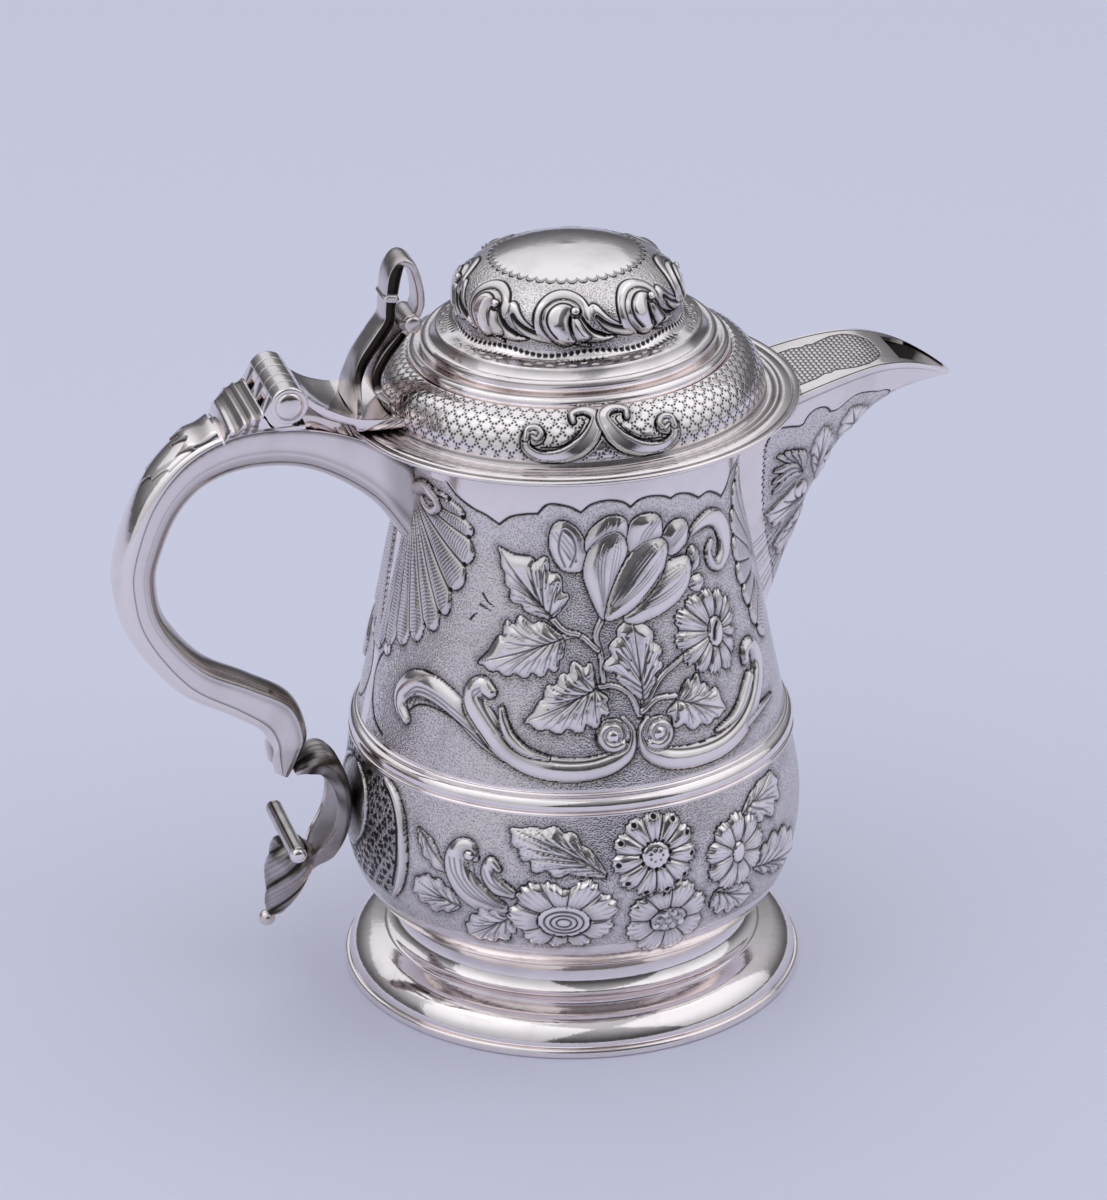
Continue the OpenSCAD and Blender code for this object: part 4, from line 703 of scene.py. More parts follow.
def chase_upper(c):
    """The design above the girdle."""
    scallops = [[(-44, 143), (-40, 140), (-34, 138), (-29, 137), (-24, 135.2)],
                [(-24, 135.2), (-20, 137.6), (-15, 138.8), (-10.5, 139.3)],
                [(-10.5, 139.3), (-8, 141.6), (-5, 142.2), (0, 141.4), (3.6, 139.8)],
                [(3.6, 139.8), (7, 142), (12, 142.8), (17, 142), (20.2, 140.2)],
                [(20.2, 140.2), (23, 141.8), (27, 142.2), (32, 141.4), (35, 140.2)],
                [(35, 140.2), (38, 140.8), (43, 139.8), (48, 137.6)],
                [(48, 137.6), (53, 137.9), (58, 136.2), (61.6, 134.4)],
                [(61.6, 134.4), (66, 136.2), (69.5, 138.8), (75, 139.6), (82, 140.4)],
                [(82, 140.4), (90, 141.6), (98, 142.6), (106, 143)]]
    edge = np.interp(c.across, *np.concatenate(scallops).T)
    below = c.along[:, None] < edge[None, :] - 0.2
    c.ground[below & (c.along[:, None] > GROUND_ABOVE)] = 1
    c.ground[:, c.across < -72] = 0
    for s in scallops:
        c.cut(s, 0.3, 0.2, 0.85)
    fan(c, (-67, 137), [(-50.6, 140), (-42, 138.6), (-35.6, 134.6), (-33, 129.6), (-34, 122), (-38.6, 114.4),
                        (-42, 107.6), (-48, 103), (-54.6, 98.8), (-62, 96.4), (-69, 93.4), (-76, 90.4)], 11)
    c.ridge([(-62, 137), (-56.6, 138.6), (-51, 137.6), (-49, 135.4), (-52, 133.6), (-56, 134), (-58, 135.4)],
            [1.6, 1.8, 1.6, 1.3, 1.1, 0.9, 0.6], 0.7, 0.6, style="lip")
    c.cut([(-65.6, 94.4), (-70, 91), (-72.4, 86), (-71, 80), (-67, 75.6), (-61, 73.4)], 0.34, 0.25, 0.85)
    c.boss((-66.6, 94), (1.6, 1.6), 0.5)
    # half shell beside the spout
    fan(c, (84, 112), [(77, 92), (71, 96.4), (68, 102), (66, 107.6), (64.4, 113.4), (64.8, 119.6), (66.6, 126),
                       (69.6, 132), (74, 137), (80, 139)], 8)
    chase_scrolls(c)
    chase_tulip(c)
    c.flower((47.8, 103.9), [(32.8, 106.7), (34.4, 111.7), (40.6, 114.4), (50, 113.9), (55, 111.7), (57.2, 103.9),
                             (55.6, 98.3), (51.7, 93.3), (45.6, 93.9), (39.4, 96.1), (33.9, 101.1)], 13, (2.4, 3.6),
             turn=0.2)
    c.cut([(46.4, 102.4), (47, 104.6), (48.4, 106)], 0.6, 0.3, 0.8)
    for tuft in ([(-28.4, 117.4), (-26.4, 115.6), (-23.6, 114.6)], [(-29, 114.6), (-26.6, 114), (-25, 113.6)],
                 [(-32, 110.6), (-30.6, 112), (-29.6, 112.4)]):
        c.cut(tuft, 0.32, 0.16, 0.7, 8, taper=True)


def chase_belly(c):
    """The design below the girdle."""
    z = c.along[:, None] + 0 * c.across[None, :]
    edge = 29.5 + 0.6 * np.sin(np.radians(c.across * 9))[None, :]
    c.ground[(z < GROUND_BELOW) & (z > edge)] = 1
    field = (c.across[None, :] < -47 - 0.02 * (z - 50) ** 2) & (z < 64.6) & (z > 33)
    c.ground[field] = 1
    for i in range(26):
        for j in range(-3, 16):
            at = (-78 + 2.0 * j + (i % 2) + 0.5 * math.sin(5 * i + 3 * j),
                  34 + 1.25 * i + 0.3 * math.sin(3 * i + 7 * j))
            if at[0] < -49 - 0.02 * (at[1] - 50) ** 2 and at[1] < 63.6:
                c.pit(at, 0.5 + 0.12 * math.sin(i + 4 * j), 0.3, 0.55)
    c.patch([(-82, 61), (-74, 61.6), (-69.5, 60), (-65, 57.4), (-63, 53.4), (-63.4, 49), (-66.5, 43.6), (-71, 39.6),
             (-82, 38)], 0.25, 0.1, 3.0)
    c.ground[(c.across[None, :] < -64) & (z > 40) & (z < 61)] = 1
    c.dark[field] += 0.2
    c.ridge([(-71.5, 61.8), (-66.4, 59.6), (-63.2, 55.6), (-62.6, 51), (-64.6, 46), (-67.6, 42.6)],
            [0.35, 0.5, 0.5, 0.5, 0.45, 0.3], 0.45, 0.2)
    c.ridge([(-55.6, 64.2), (-51, 61.4), (-47.6, 56.4), (-46.2, 50), (-46.2, 44.4), (-48, 38.6), (-51, 34.4)],
            [0.7, 1.2, 1.5, 1.6, 1.5, 1.2, 0.6], 1.0)
    c.cut([(-56.6, 62.4), (-52, 59.4), (-49.4, 54.8), (-48.6, 49.6), (-49, 43.6), (-51.4, 37)], 0.45, 0.3, 0.95)
    c.leaf((-41.4, 56.4), (-30.2, 46.6), [(-36.6, 54.6), (-35.4, 53), (-33.6, 50.2)],
           [(-41, 53.2), (-39, 50), (-35.6, 47.6)], 0.6)
    c.leaf((-28.6, 38.6), (-41.8, 43), [(-30.6, 42.6), (-34, 44.6), (-38, 45)],
           [(-32, 36), (-36.6, 35), (-40.6, 36.6), (-43, 38.8)], 0.6)
    c.ridge([(-24.4, 53), (-26, 55.4), (-28.6, 54.4), (-29.6, 50.6), (-27.6, 46), (-23.6, 42.6), (-18, 40.4)],
            [1.2, 2.0, 2.9, 3.5, 3.9, 3.6, 2.2], 1.1)
    c.boss((-25.6, 53.4), (1.2, 1.1), 0.4, 1.0)
    for shift in (-3.0, -1.6, 0, 1.6, 3.0):
        c.cut([(-27.8 + shift, 52), (-26.6 + shift, 47.4 - shift * 0.2), (-22.6 + shift, 43.4),
               (-17.6 + shift * 0.4, 41)], *VEIN)
    c.ridge([(-18, 51), (-20, 52.6), (-20.6, 49.6), (-18.4, 46.6), (-14.6, 45)], [0.8, 1.5, 2.1, 2.4, 1.3], 1.0)
    for shift in (-1.2, 0.4):
        c.cut([(-20.4 + shift, 50.6), (-18.6 + shift, 47.4), (-14.8 + shift * 0.5, 45.2)], 0.24, 0.14, 0.5)
    c.leaf((8.6, 50.2), (-15.4, 61.6), [(5, 56.4), (0.6, 61), (-4, 62.6), (-9.6, 62.2)],
           [(2.6, 50.6), (-3.6, 50.4), (-9, 51.6), (-12, 54.6), (-14.6, 57.8)], 0.9, bend=-0.06)
    for i in range(90):
        t, side = (0.1 + 0.8 * ((i * 0.618) % 1)), 2 * ((i * 0.755) % 1) - 1
        wide = math.sin(math.pi * t)
        c.pit((8.6 - 24 * t + 3.6 * side * wide, 50.2 + 11.4 * t + 4.6 * side * wide), 0.22, 0.12, 0.5)
    c.leaf((-15, 38), (-27.4, 30.6), [(-19, 40), (-22.6, 39.6), (-25.6, 36.4), (-27.6, 33.4)],
           [(-14, 34), (-16.4, 31), (-20.6, 29.8), (-24.6, 29.4)], 0.6)
    c.flower((-1.9, 38.4), [(-16, 38.9), (-14.4, 43.6), (-9, 49.4), (-2, 47), (4.4, 49.4), (9.6, 45), (11.7, 40),
                            (9.4, 34.6), (4.4, 31), (-2, 30.8), (-9, 30.6), (-13.6, 34)],
             9, (6.2, 4.2), 1.3, turn=0.35, lines=3)
    for size in (4.6, 3.1, 1.7):
        a = np.linspace(0, 2 * math.pi, 17)
        c.cut(np.stack([-1.9 + size * 1.05 * np.cos(a), 38.2 + size * 0.68 * np.sin(a)], -1), 0.26, 0.22, 0.75, 40)
    c.leaf((48, 57), (62.6, 63), [(52, 61), (56, 62.4)], [(54, 53), (60, 52.6), (64.6, 55.6), (65.6, 59.6)], 0.6)
    c.leaf((51.6, 41.6), (78, 36), [(55, 46), (60, 47.4), (66, 46.4), (72, 43)],
           [(56, 38), (62, 35.6), (68, 34.2), (74, 34)], 0.6)
    c.leaf((38, 39.6), (53, 33.6), [(42, 40), (46, 39.6), (50, 37.4)],
           [(36.6, 36), (39.6, 33), (44, 31.6), (48.6, 31.6)], 0.6)
    c.flower((45, 48.6), 9.8, 9, (1.9, 2.6), 0.85, turn=0.1, lines=3)
    c.flower((24.4, 36), 10.6, 8, (4.6, 3.2), 0.85, turn=0.3, lines=3)
    grains = ((0, 0), (2.4, 0.6), (-2.4, 0.6), (1.2, 2), (-1.2, 2), (1.2, -1.6), (-1.2, -1.6), (3.4, -1), (-3.4, -1))
    for dx, dy in grains:
        c.boss((24.4 + dx, 35.8 + dy), (0.9, 0.9), 0.4, 1.0, outline=0.7, reach=0.25)
    mid_x, mid_z = 20.9, 54.2
    c.flower((mid_x, mid_z), 10.8, 11, (3.4, 3.2), 1.1, turn=math.pi / 2, lines=1)
    # rings of punch marks on it: how many, start, half width, half height, mark
    for count, start, wide, high, mark in ((11, math.pi / 2, 9.6, 9.6, (0.7, 0.3, 0.9)), (12, 0, 3.9, 3.7, (0.5,)),
                                           (7, 0, 1.6, 1.5, (0.3, 0.2, 0.7))):
        for a in circle(count) + start:
            c.pit((mid_x + wide * math.cos(a), mid_z + high * math.sin(a)), *mark)


def chase_body(columns, rows):
    """The chased design between the handle and the spout, in degrees from the viewer's side and height."""
    c = Chasing(columns, rows, lambda z: body_radius(z) * math.pi / 180)
    chase_upper(c)
    chase_belly(c)
    return c


# Foot and bands
def make_foot():
    """The spun foot (ovolo, step and cove) and the half-round wire on its edge."""
    edge, step_r, step_z, wire_h, sheet = 56.9, 47.6, 10.0, 2.4, 1.3
    wire_r, wire_proud = 57.35, 0.65
    a = np.radians(np.linspace(4, 74, 24))
    ovolo = np.stack([step_r + (edge - step_r) * (0.12 + 0.88 * np.cos(a)),
                      wire_h + (step_z - 0.6 - wire_h) * np.sin(a)], -1)
    cove = bezier([(step_r - 0.7, step_z + 0.7), (BASE_R - 0.6, step_z + 1.4), (BASE_R - 1.7, FOOT_H - 4),
                   (BASE_R + 0.2, FOOT_H + 0.2)], np.linspace(0, 1, 24))
    line = np.concatenate([[(edge, 0), (edge, wire_h - 0.35), (edge - 0.5, wire_h - 0.1)], ovolo,
                           [(step_r + 0.6, step_z - 0.35), (step_r + 0.1, step_z - 0.2), (step_r, step_z),
                            (step_r - 0.05, step_z + 0.4), (step_r - 0.35, step_z + 0.62)], cove])
    inner = line[1:-1] - np.array([sheet, sheet / 2])
    profile = np.concatenate([line, [(BASE_R - 1.6 * sheet, FOOT_H)], inner[::-1], [(edge - 2 * sheet, 0)]])
    ring("foot_turned", profile, ["foot"])
    a = np.radians(np.linspace(-90, 90, 15))
    half_round = np.stack([wire_r + wire_proud * np.cos(a), wire_h / 2 + wire_h / 2 * np.sin(a)], -1)
    wire = np.concatenate([[(edge, 0)], half_round, [(edge, wire_h)]])
    ring("foot_edge_wire", wire, ["foot_wire"])


def make_bands():
    """The girdle round the body."""
    low, height, proud = 65.4, 5.8, 1.7
    z = np.linspace(low, low + height, 49)
    u = (z - low) / height
    # three members: a fillet below, a broad half round, a fine fillet above
    lift = np.where(u < 0.2, 0.80 * arc(((u - 0.1) / 0.105) ** 2) * 0.5 + 0.55,
                    np.where(u < 0.8, 0.25 + 0.85 * arc(((u - 0.5) / 0.305) ** 2),
                             0.15 + 0.45 * arc(((u - 0.9) / 0.105) ** 2)))
    outer = np.stack([body_radius(z) + proud * lift, z], -1)
    inner = np.stack([body_radius(z) - 0.2, z], -1)[::-4]
    ring("girdle_moulding", np.concatenate([outer, inner]), ["girdle"], 360)


make_foot()
make_bands()


# Body skin
BODY_COLS, BODY_ROWS = 1200, 480
FRONT_TURN = 105.5


def make_body_skin():
    """The chased outside of the body, a skin over the plain wall."""
    z = np.concatenate([FOOT_H + (BELLY_Z - FOOT_H) * (1 - np.cos(np.linspace(0.03, math.pi / 2, 200))),
                        np.linspace(BELLY_Z, LIP_Z - 0.1, 800)[1:]])
    profile = even(np.stack([body_radius(z), z], -1), BODY_ROWS)
    normal = -left_normals(profile)
    azimuth = np.linspace(-180, 180, BODY_COLS, endpoint=False)
    # one side is designed and the other mirrors it; the spout is FRONT_TURN degrees round from the viewer
    design = chase_body(FRONT_TURN - 180 + np.arange(BODY_COLS // 2 + 1) * 360 / BODY_COLS, profile[:, 1])
    column = np.rint((180 - np.abs(azimuth)) * BODY_COLS / 360).astype(int)
    relief, patina, ground = (part[:, column] for part in (design.height, design.dark, design.ground))
    relief = np.maximum(relief, -DEEPEST)
    out = profile[:, None, :] + normal[:, None, :] * (relief + SKIN)[..., None]
    points = round_axis(out, np.radians(azimuth))
    quads = grid_quads(BODY_ROWS, BODY_COLS, wrap_cols=True)
    # the wall behind the spout stays open to the strainer
    rise = np.clip((points[..., 2] - SPOUT_HEEL_Z) / (SPOUT_ROOT_Z - COVER_T - SPOUT_HEEL_Z), 0, 1)
    hidden = (points[..., 0] > 0) & (np.abs(points[..., 1]) < SPOUT_HALF_W * rise**KEEL_ROUND - 0.6) & (rise > 0)
    keep = ~hidden.ravel()[quads].all(1)
    piece("body_chasing", points.reshape(-1, 3), [quads[keep]], "tankard", "silver_chased", CHASED, ["body_relief"],
          patina=patina, ground=ground, sharp=0)


make_body_skin()


# Spout
def cover_height(x):
    """Height of the spout's cover at a place along the spout."""
    x = np.maximum(np.asarray(x, float), SPOUT_ROOT_X)
    back = np.maximum(SPOUT_CREST_X - x, 0) / (SPOUT_CREST_X - SPOUT_ROOT_X)
    near = SPOUT_CREST_Z - (SPOUT_CREST_Z - SPOUT_ROOT_Z) * back**1.5
    far = SPOUT_CREST_Z - (SPOUT_CREST_Z - SPOUT_TIP_Z) * ((x - SPOUT_CREST_X) / (SPOUT_REACH - SPOUT_CREST_X)) ** 2
    return np.where(x < SPOUT_CREST_X, near, far)


def cover_half(x):
    """Half the cover's width there."""
    u = (np.asarray(x, float) - SPOUT_ROOT_X) / (SPOUT_REACH - SPOUT_ROOT_X)
    return SPOUT_HALF_W * np.where(u < 0, 1, np.maximum(0, 1 - np.clip(u, 0, 1) ** 2) ** 0.6)


KEEL = [(float(body_radius(SPOUT_HEEL_Z)), SPOUT_HEEL_Z),
        (float(body_radius(SPOUT_HEEL_Z)) + 10, SPOUT_HEEL_Z + 25),
        (LIP_R + 18, SPOUT_TIP_Z - 4), (SPOUT_REACH - 1, SPOUT_TIP_Z - 1.4)]


def spout_surface(u, v, inset):
    """Points of the spout's side: u runs from the near edge (-1) over the keel (0), v from the body to the tip."""
    rise, side = np.abs(u), np.sign(u)
    fade = (1 - v) ** 3
    low = bezier(KEEL, v)
    ahead = bezier(KEEL, np.minimum(v + 0.02, 1)) - bezier(KEEL, np.maximum(v - 0.02, 0))
    ahead /= np.linalg.norm(ahead, axis=-1)[..., None]
    low = low + 1.3 * inset * np.stack([-ahead[..., 1], ahead[..., 0]], -1)
    half = SPOUT_HALF_W - inset
    top_z = SPOUT_ROOT_Z - COVER_T

    def shift(r):
        z = SPOUT_HEEL_Z + (top_z - SPOUT_HEEL_Z) * r
        on_body = np.sqrt(body_radius(z) ** 2 - (half * r**KEEL_ROUND) ** 2) - 0.25
        return on_body - (KEEL[0][0] + (SPOUT_ROOT_X - KEEL[0][0]) * r)

    one = np.ones_like(rise)
    x_flat = SPOUT_ROOT_X + (SPOUT_REACH - SPOUT_ROOT_X) * v
    x_top = x_flat + shift(one) * fade
    top = np.stack([x_top, cover_height(x_top) - COVER_T], -1)
    y = side * np.maximum(cover_half(x_flat) - inset, 0.05) * rise**KEEL_ROUND
    p = low + (top - low) * rise[..., None]
    return np.stack([p[..., 0] + (shift(rise) - rise * shift(one)) * fade, y, p[..., 1]], -1)


SIDE_DEPTH = 45.0  # the spout's side from keel to edge, unrolled; places on it are (v, rise)
FIELD_TOP = [(0.17, 0.865), (0.21, 0.84), (0.25, 0.808), (0.27, 0.806), (0.277, 0.83), (0.29, 0.853),
             (0.312, 0.866), (0.338, 0.858), (0.365, 0.834), (0.385, 0.8), (0.4, 0.766), (0.425, 0.742),
             (0.448, 0.735), (0.468, 0.746), (0.49, 0.765), (0.515, 0.774), (0.55, 0.76), (0.59, 0.72),
             (0.63, 0.674), (0.67, 0.612), (0.7, 0.585), (0.73, 0.53), (0.76, 0.44), (0.78, 0.3), (0.79, 0.1)]
FIELD_SIDE = [(0.118, 0.85), (0.105, 0.8), (0.1, 0.7), (0.09, 0.6), (0.078, 0.48), (0.08, 0.3), (0.095, 0.12),
              (0.1, 0.0)]
SPOUT_PETALS = [(0.165, 0.7), (0.198, 0.69), (0.23, 0.66), (0.262, 0.625), (0.148, 0.63), (0.138, 0.575),
                (0.135, 0.52)]
SPOUT_LEAVES = [
    ((0.4, 0.24), (0.385, 0.66), [(0.35, 0.42), (0.332, 0.53), (0.347, 0.605)],
     [(0.445, 0.36), (0.465, 0.45), (0.437, 0.54), (0.415, 0.61)]),
    ((0.345, 0.21), (0.085, 0.45), [(0.305, 0.35), (0.24, 0.42), (0.16, 0.44)],
     [(0.29, 0.2), (0.235, 0.255), (0.17, 0.285), (0.12, 0.335), (0.1, 0.39)]),
    ((0.36, 0.03), (0.11, 0.235), [(0.3, 0.15), (0.22, 0.2), (0.16, 0.235)],
     [(0.28, 0.02), (0.2, 0.06), (0.14, 0.14)]),
    ((0.66, 0.1), (0.53, 0.63), [(0.54, 0.26), (0.505, 0.4), (0.5, 0.53)],
     [(0.69, 0.26), (0.655, 0.41), (0.6, 0.53)]),
    ((0.52, 0.03), (0.43, 0.3), [(0.43, 0.08), (0.41, 0.2)], [(0.52, 0.15), (0.49, 0.25)]),
]


def chase_spout(columns, rows):
    """Leaves on a punched field, under a plain border with a waved edge, on one side of the spout."""
    c = Chasing(columns, rows * SIDE_DEPTH, lambda place: 75 - 21 * place / SIDE_DEPTH)
    on = lambda points: [(v, r * SIDE_DEPTH) for v, r in points]
    edge = np.array(on(FIELD_SIDE + [(0.1, -0.1), (0.8, -0.1)] + FIELD_TOP[::-1]))
    V, R = np.meshgrid(c.across, c.along)
    c.ground[inside_of(V, R, edge)] = 1
    c.cut(on(FIELD_TOP), 0.22, 0.16, 0.8, 90)
    for i, (v, r) in enumerate(spline(FIELD_SIDE, 40)):
        c.pit((v + 0.006 * (i % 2), r * SIDE_DEPTH), 0.26, 0.15, 0.8)
    for leaf in SPOUT_LEAVES:
        base, tip, one, other = leaf
        c.leaf(*on([base, tip]), on(one), on(other), 0.5, 0.12, edge=1.2, outline=0.6, reach=0.32)
    for tip in SPOUT_PETALS:
        root = np.array((0.295, 0.42))
        bend = root + (np.array(tip) - root) * 0.5 + (0.012, 0.03)
        c.ridge(on([root, bend, tip]), [0.3, 0.6, 0.95, 0.95, 0.35], 0.5, 0.12, count=24, outline=0.8, reach=0.36)
        c.cut(on([root, bend, bend + (np.array(tip) - bend) * 0.6]), 0.26, 0.15, 0.6, 12, taper=True)
    c.cut(on([(0.0, 0.975), (0.5, 0.972), (0.93, 0.96)]), 0.3, 0.08, 0.4, 40)
    return c


def make_spout():
    """The beak of the spout, chased on both sides of its keel."""
    rows, half = 260, 180
    v_line, rise_line = np.linspace(0, 1, rows), np.linspace(0, 1, half + 1)
    cols = 2 * half + 1
    v, u = np.meshgrid(v_line, np.linspace(-1, 1, cols), indexing="ij")
    outer = spout_surface(u, v, 0.0)
    design = chase_spout(v_line, rise_line)
    pick = np.abs(np.arange(cols) - half)
    relief, patina, ground = (part[pick].T for part in (design.height, design.dark, design.ground))
    normal = np.cross(np.gradient(outer, axis=1), np.gradient(outer, axis=0))
    normal /= np.linalg.norm(normal, axis=-1)[..., None] + 1e-9
    fade = smoothstep(v, 0.0, 0.04) * (1 - smoothstep(v, 0.86, 0.95)) * (1 - smoothstep(np.abs(u), 0.985, 1.0))
    outer = outer + normal * (np.maximum(relief, -DEEPEST) * fade)[..., None]
    inner = spout_surface(u, v * (1 - 1.5 * SPOUT_T / (SPOUT_REACH - SPOUT_ROOT_X)), SPOUT_T)
    # painted shade inside the covered spout, lighter at the tip where it opens
    inside = 0.42 + 0.58 * (1 - smoothstep(v, 0.84, 0.96))
    piece("spout_chasing", *shell(outer, inner), "tankard", "silver_chased", CHASED, ["spout"],
          np.stack([patina, inside]), np.stack([ground, 0 * ground]), sharp=50)


COVER_FIELD = [(40, 10), (56, 10), (60, 9.8), (62.4, 8.6), (63.8, 9.2), (65, 8.4), (67, 9.2), (70, 10.2),
               (73.4, 9.8), (76.4, 7.6), (78.2, 4.6), (79, 0)]
MOUTH_FROM, MOUTH_TO, MOUTH_HALF, MOUTH_RIM = 82.3, 97.2, 7.6, 0.8
DIAPER_ROW, DIAPER_WIDE = 1.05, 1.9  # one scale of the field


def make_spout_cover():
    """The cover plate: diapered field inside a cusped line, plain border, and the pouring mouth at the tip."""
    cols = 96
    x = np.concatenate([np.linspace(41, MOUTH_FROM, 190), MOUTH_FROM + np.linspace(0.01, MOUTH_TO - MOUTH_FROM, 70),
                        np.linspace(MOUTH_TO + 0.05, SPOUT_REACH, 8)])
    mouth = np.clip(np.minimum(MOUTH_HALF, cover_half(x) - MOUTH_RIM), 0, None)
    mouth = np.where((x > MOUTH_FROM) & (x < MOUTH_TO), mouth, 0)
    field_x, field_y = np.array(COVER_FIELD).T
    parts, tones = [], []
    for sign in (-1, 1):
        t = np.linspace(0, 1, cols)
        y = mouth[:, None] + (np.maximum(cover_half(x), mouth + 0.05)[:, None] - mouth[:, None]) * t
        cusp = np.abs(np.sin(math.pi * y / 3.8)) * bell(x - MOUTH_FROM, 1.3)[:, None] * (y < MOUTH_HALF + 0.1)
        X = x[:, None] - 1.1 * cusp
        top = np.stack([X, sign * y, cover_height(X)], -1)
        bound = np.interp(X, field_x, field_y, right=-1)
        row = np.floor(X / DIAPER_ROW)
        place = y / DIAPER_WIDE + 0.5 * (row % 2)
        wave = X / DIAPER_ROW - row + 0.16 * np.cos(2 * math.pi * place)
        across = place % 1 - 0.5
        brick = np.maximum(bell(wave - 0.5, 0.24), bell(across * DIAPER_WIDE, 0.2) * (np.abs(wave - 0.5) < 0.5))
        tone = np.where(y < bound, 0.7 * brick, 0)
        tone = np.maximum(tone, 0.9 * bell(y - bound - 0.35, 0.28) * (bound > 0.3))
        tone = np.maximum(tone, 0.75 * bell(cover_half(x)[:, None] - y - 0.9, 0.25) * (X < 84))
        top[..., 2] -= 0.1 * tone
        low = np.stack([X, sign * y, cover_height(X) - COVER_T], -1)
        points, faces = shell(top, low, ends=False)
        parts.append((points, [f[:, ::-1] for f in faces] if sign > 0 else faces))
        tones += [tone, 0 * tone]
    piece("spout_cover_plate", *joined(*parts), "tankard", "silver_chased", CHASED, ["spout_cover"],
          np.stack(tones))


make_spout()
make_spout_cover()


# Handle
# Edges of the handle's side band in X and Z, from the neck to the tail
OUTER_EDGE = [(-41.5, 141.9), (-54.3, 150.3), (-68.9, 154.5), (-83.7, 154.6), (-96.0, 149.2), (-104.8, 138.8),
              (-109.9, 125.2), (-110.7, 115.6), (-107.8, 103.5), (-97.9, 89.4), (-85.7, 81.2), (-78.8, 76.0),
              (-76.2, 71.3), (-75.7, 67.0), (-74.9, 61.2)]
INNER_EDGE = [(-41.5, 125.3), (-52.0, 138.3), (-66.7, 147.3), (-81.4, 149.1), (-93.6, 145.4), (-101.8, 136.9),
              (-106.8, 124.6), (-107.7, 115.7), (-104.8, 105.0), (-95.1, 93.0), (-82.9, 86.2), (-73.4, 80.3),
              (-70.2, 72.2), (-71.4, 66.8), (-74.1, 60.8)]


GRIP_WIDE, GRIP_NARROW = 16, 10
GRIP_DEEP, GRIP_SHALLOW = 6.3, 2
GRIP_COUNT = 2001


def grip_half(s):
    """Half the handle's width; s runs along it from 0 at the neck to 1 at the tail."""
    return (GRIP_WIDE + (GRIP_NARROW - GRIP_WIDE) * smoothstep(s * 1.15)) / 2 * np.where(s > 0.9,
            1 - 2.5 * (s - 0.9), 1)


def grip_crown(s):
    """How far the handle's back rises over its side band."""
    return np.where(s < 0.5, 0.5 + 3.7 * smoothstep(s * 2), 4.2 - 2.5 * smoothstep(s * 2 - 1))


def grip_hollow(s):
    """How far its inner face swells towards the body."""
    return (GRIP_DEEP + (GRIP_SHALLOW - GRIP_DEEP) * smoothstep(s * 1.25)) * np.where(s > 0.9, 1 - 4 * (s - 0.9), 1)


def grip_frame(s):
    """Middle of the side band, direction outwards and half its depth."""
    t = np.linspace(0, 1, GRIP_COUNT)
    o, i = (np.stack([np.interp(s, t, row) for row in spline(edge, GRIP_COUNT).T], -1) for edge in (OUTER_EDGE,
            INNER_EDGE))
    d = o - i
    size = np.linalg.norm(d, axis=-1)
    return (o + i) / 2, d / size[..., None], size / 2


def grip_points(s, y, n):
    """Points across the handle: s along it, y sideways, n outwards from the middle of its side band."""
    mid, out, _ = grip_frame(s)
    x = mid[:, None, 0] + out[:, None, 0] * n
    z = mid[:, None, 1] + out[:, None, 1] * n
    root = -np.sqrt(np.maximum(body_radius(np.clip(z, 100, 150)) ** 2 - y**2, 1)) + 0.6
    blend = (1 - smoothstep(s, 0, 0.045))[:, None]
    return np.stack([np.where(s[:, None] == 0, root, np.minimum(x, root - 0.1 * (1 - blend))), y, z], -1)


VENT_AT, VENT_ANGLE = 0.745, -50.0  # the small hole on the inner face, along the handle and round its hollow
VENT_SIZE = (0.0045, 11)


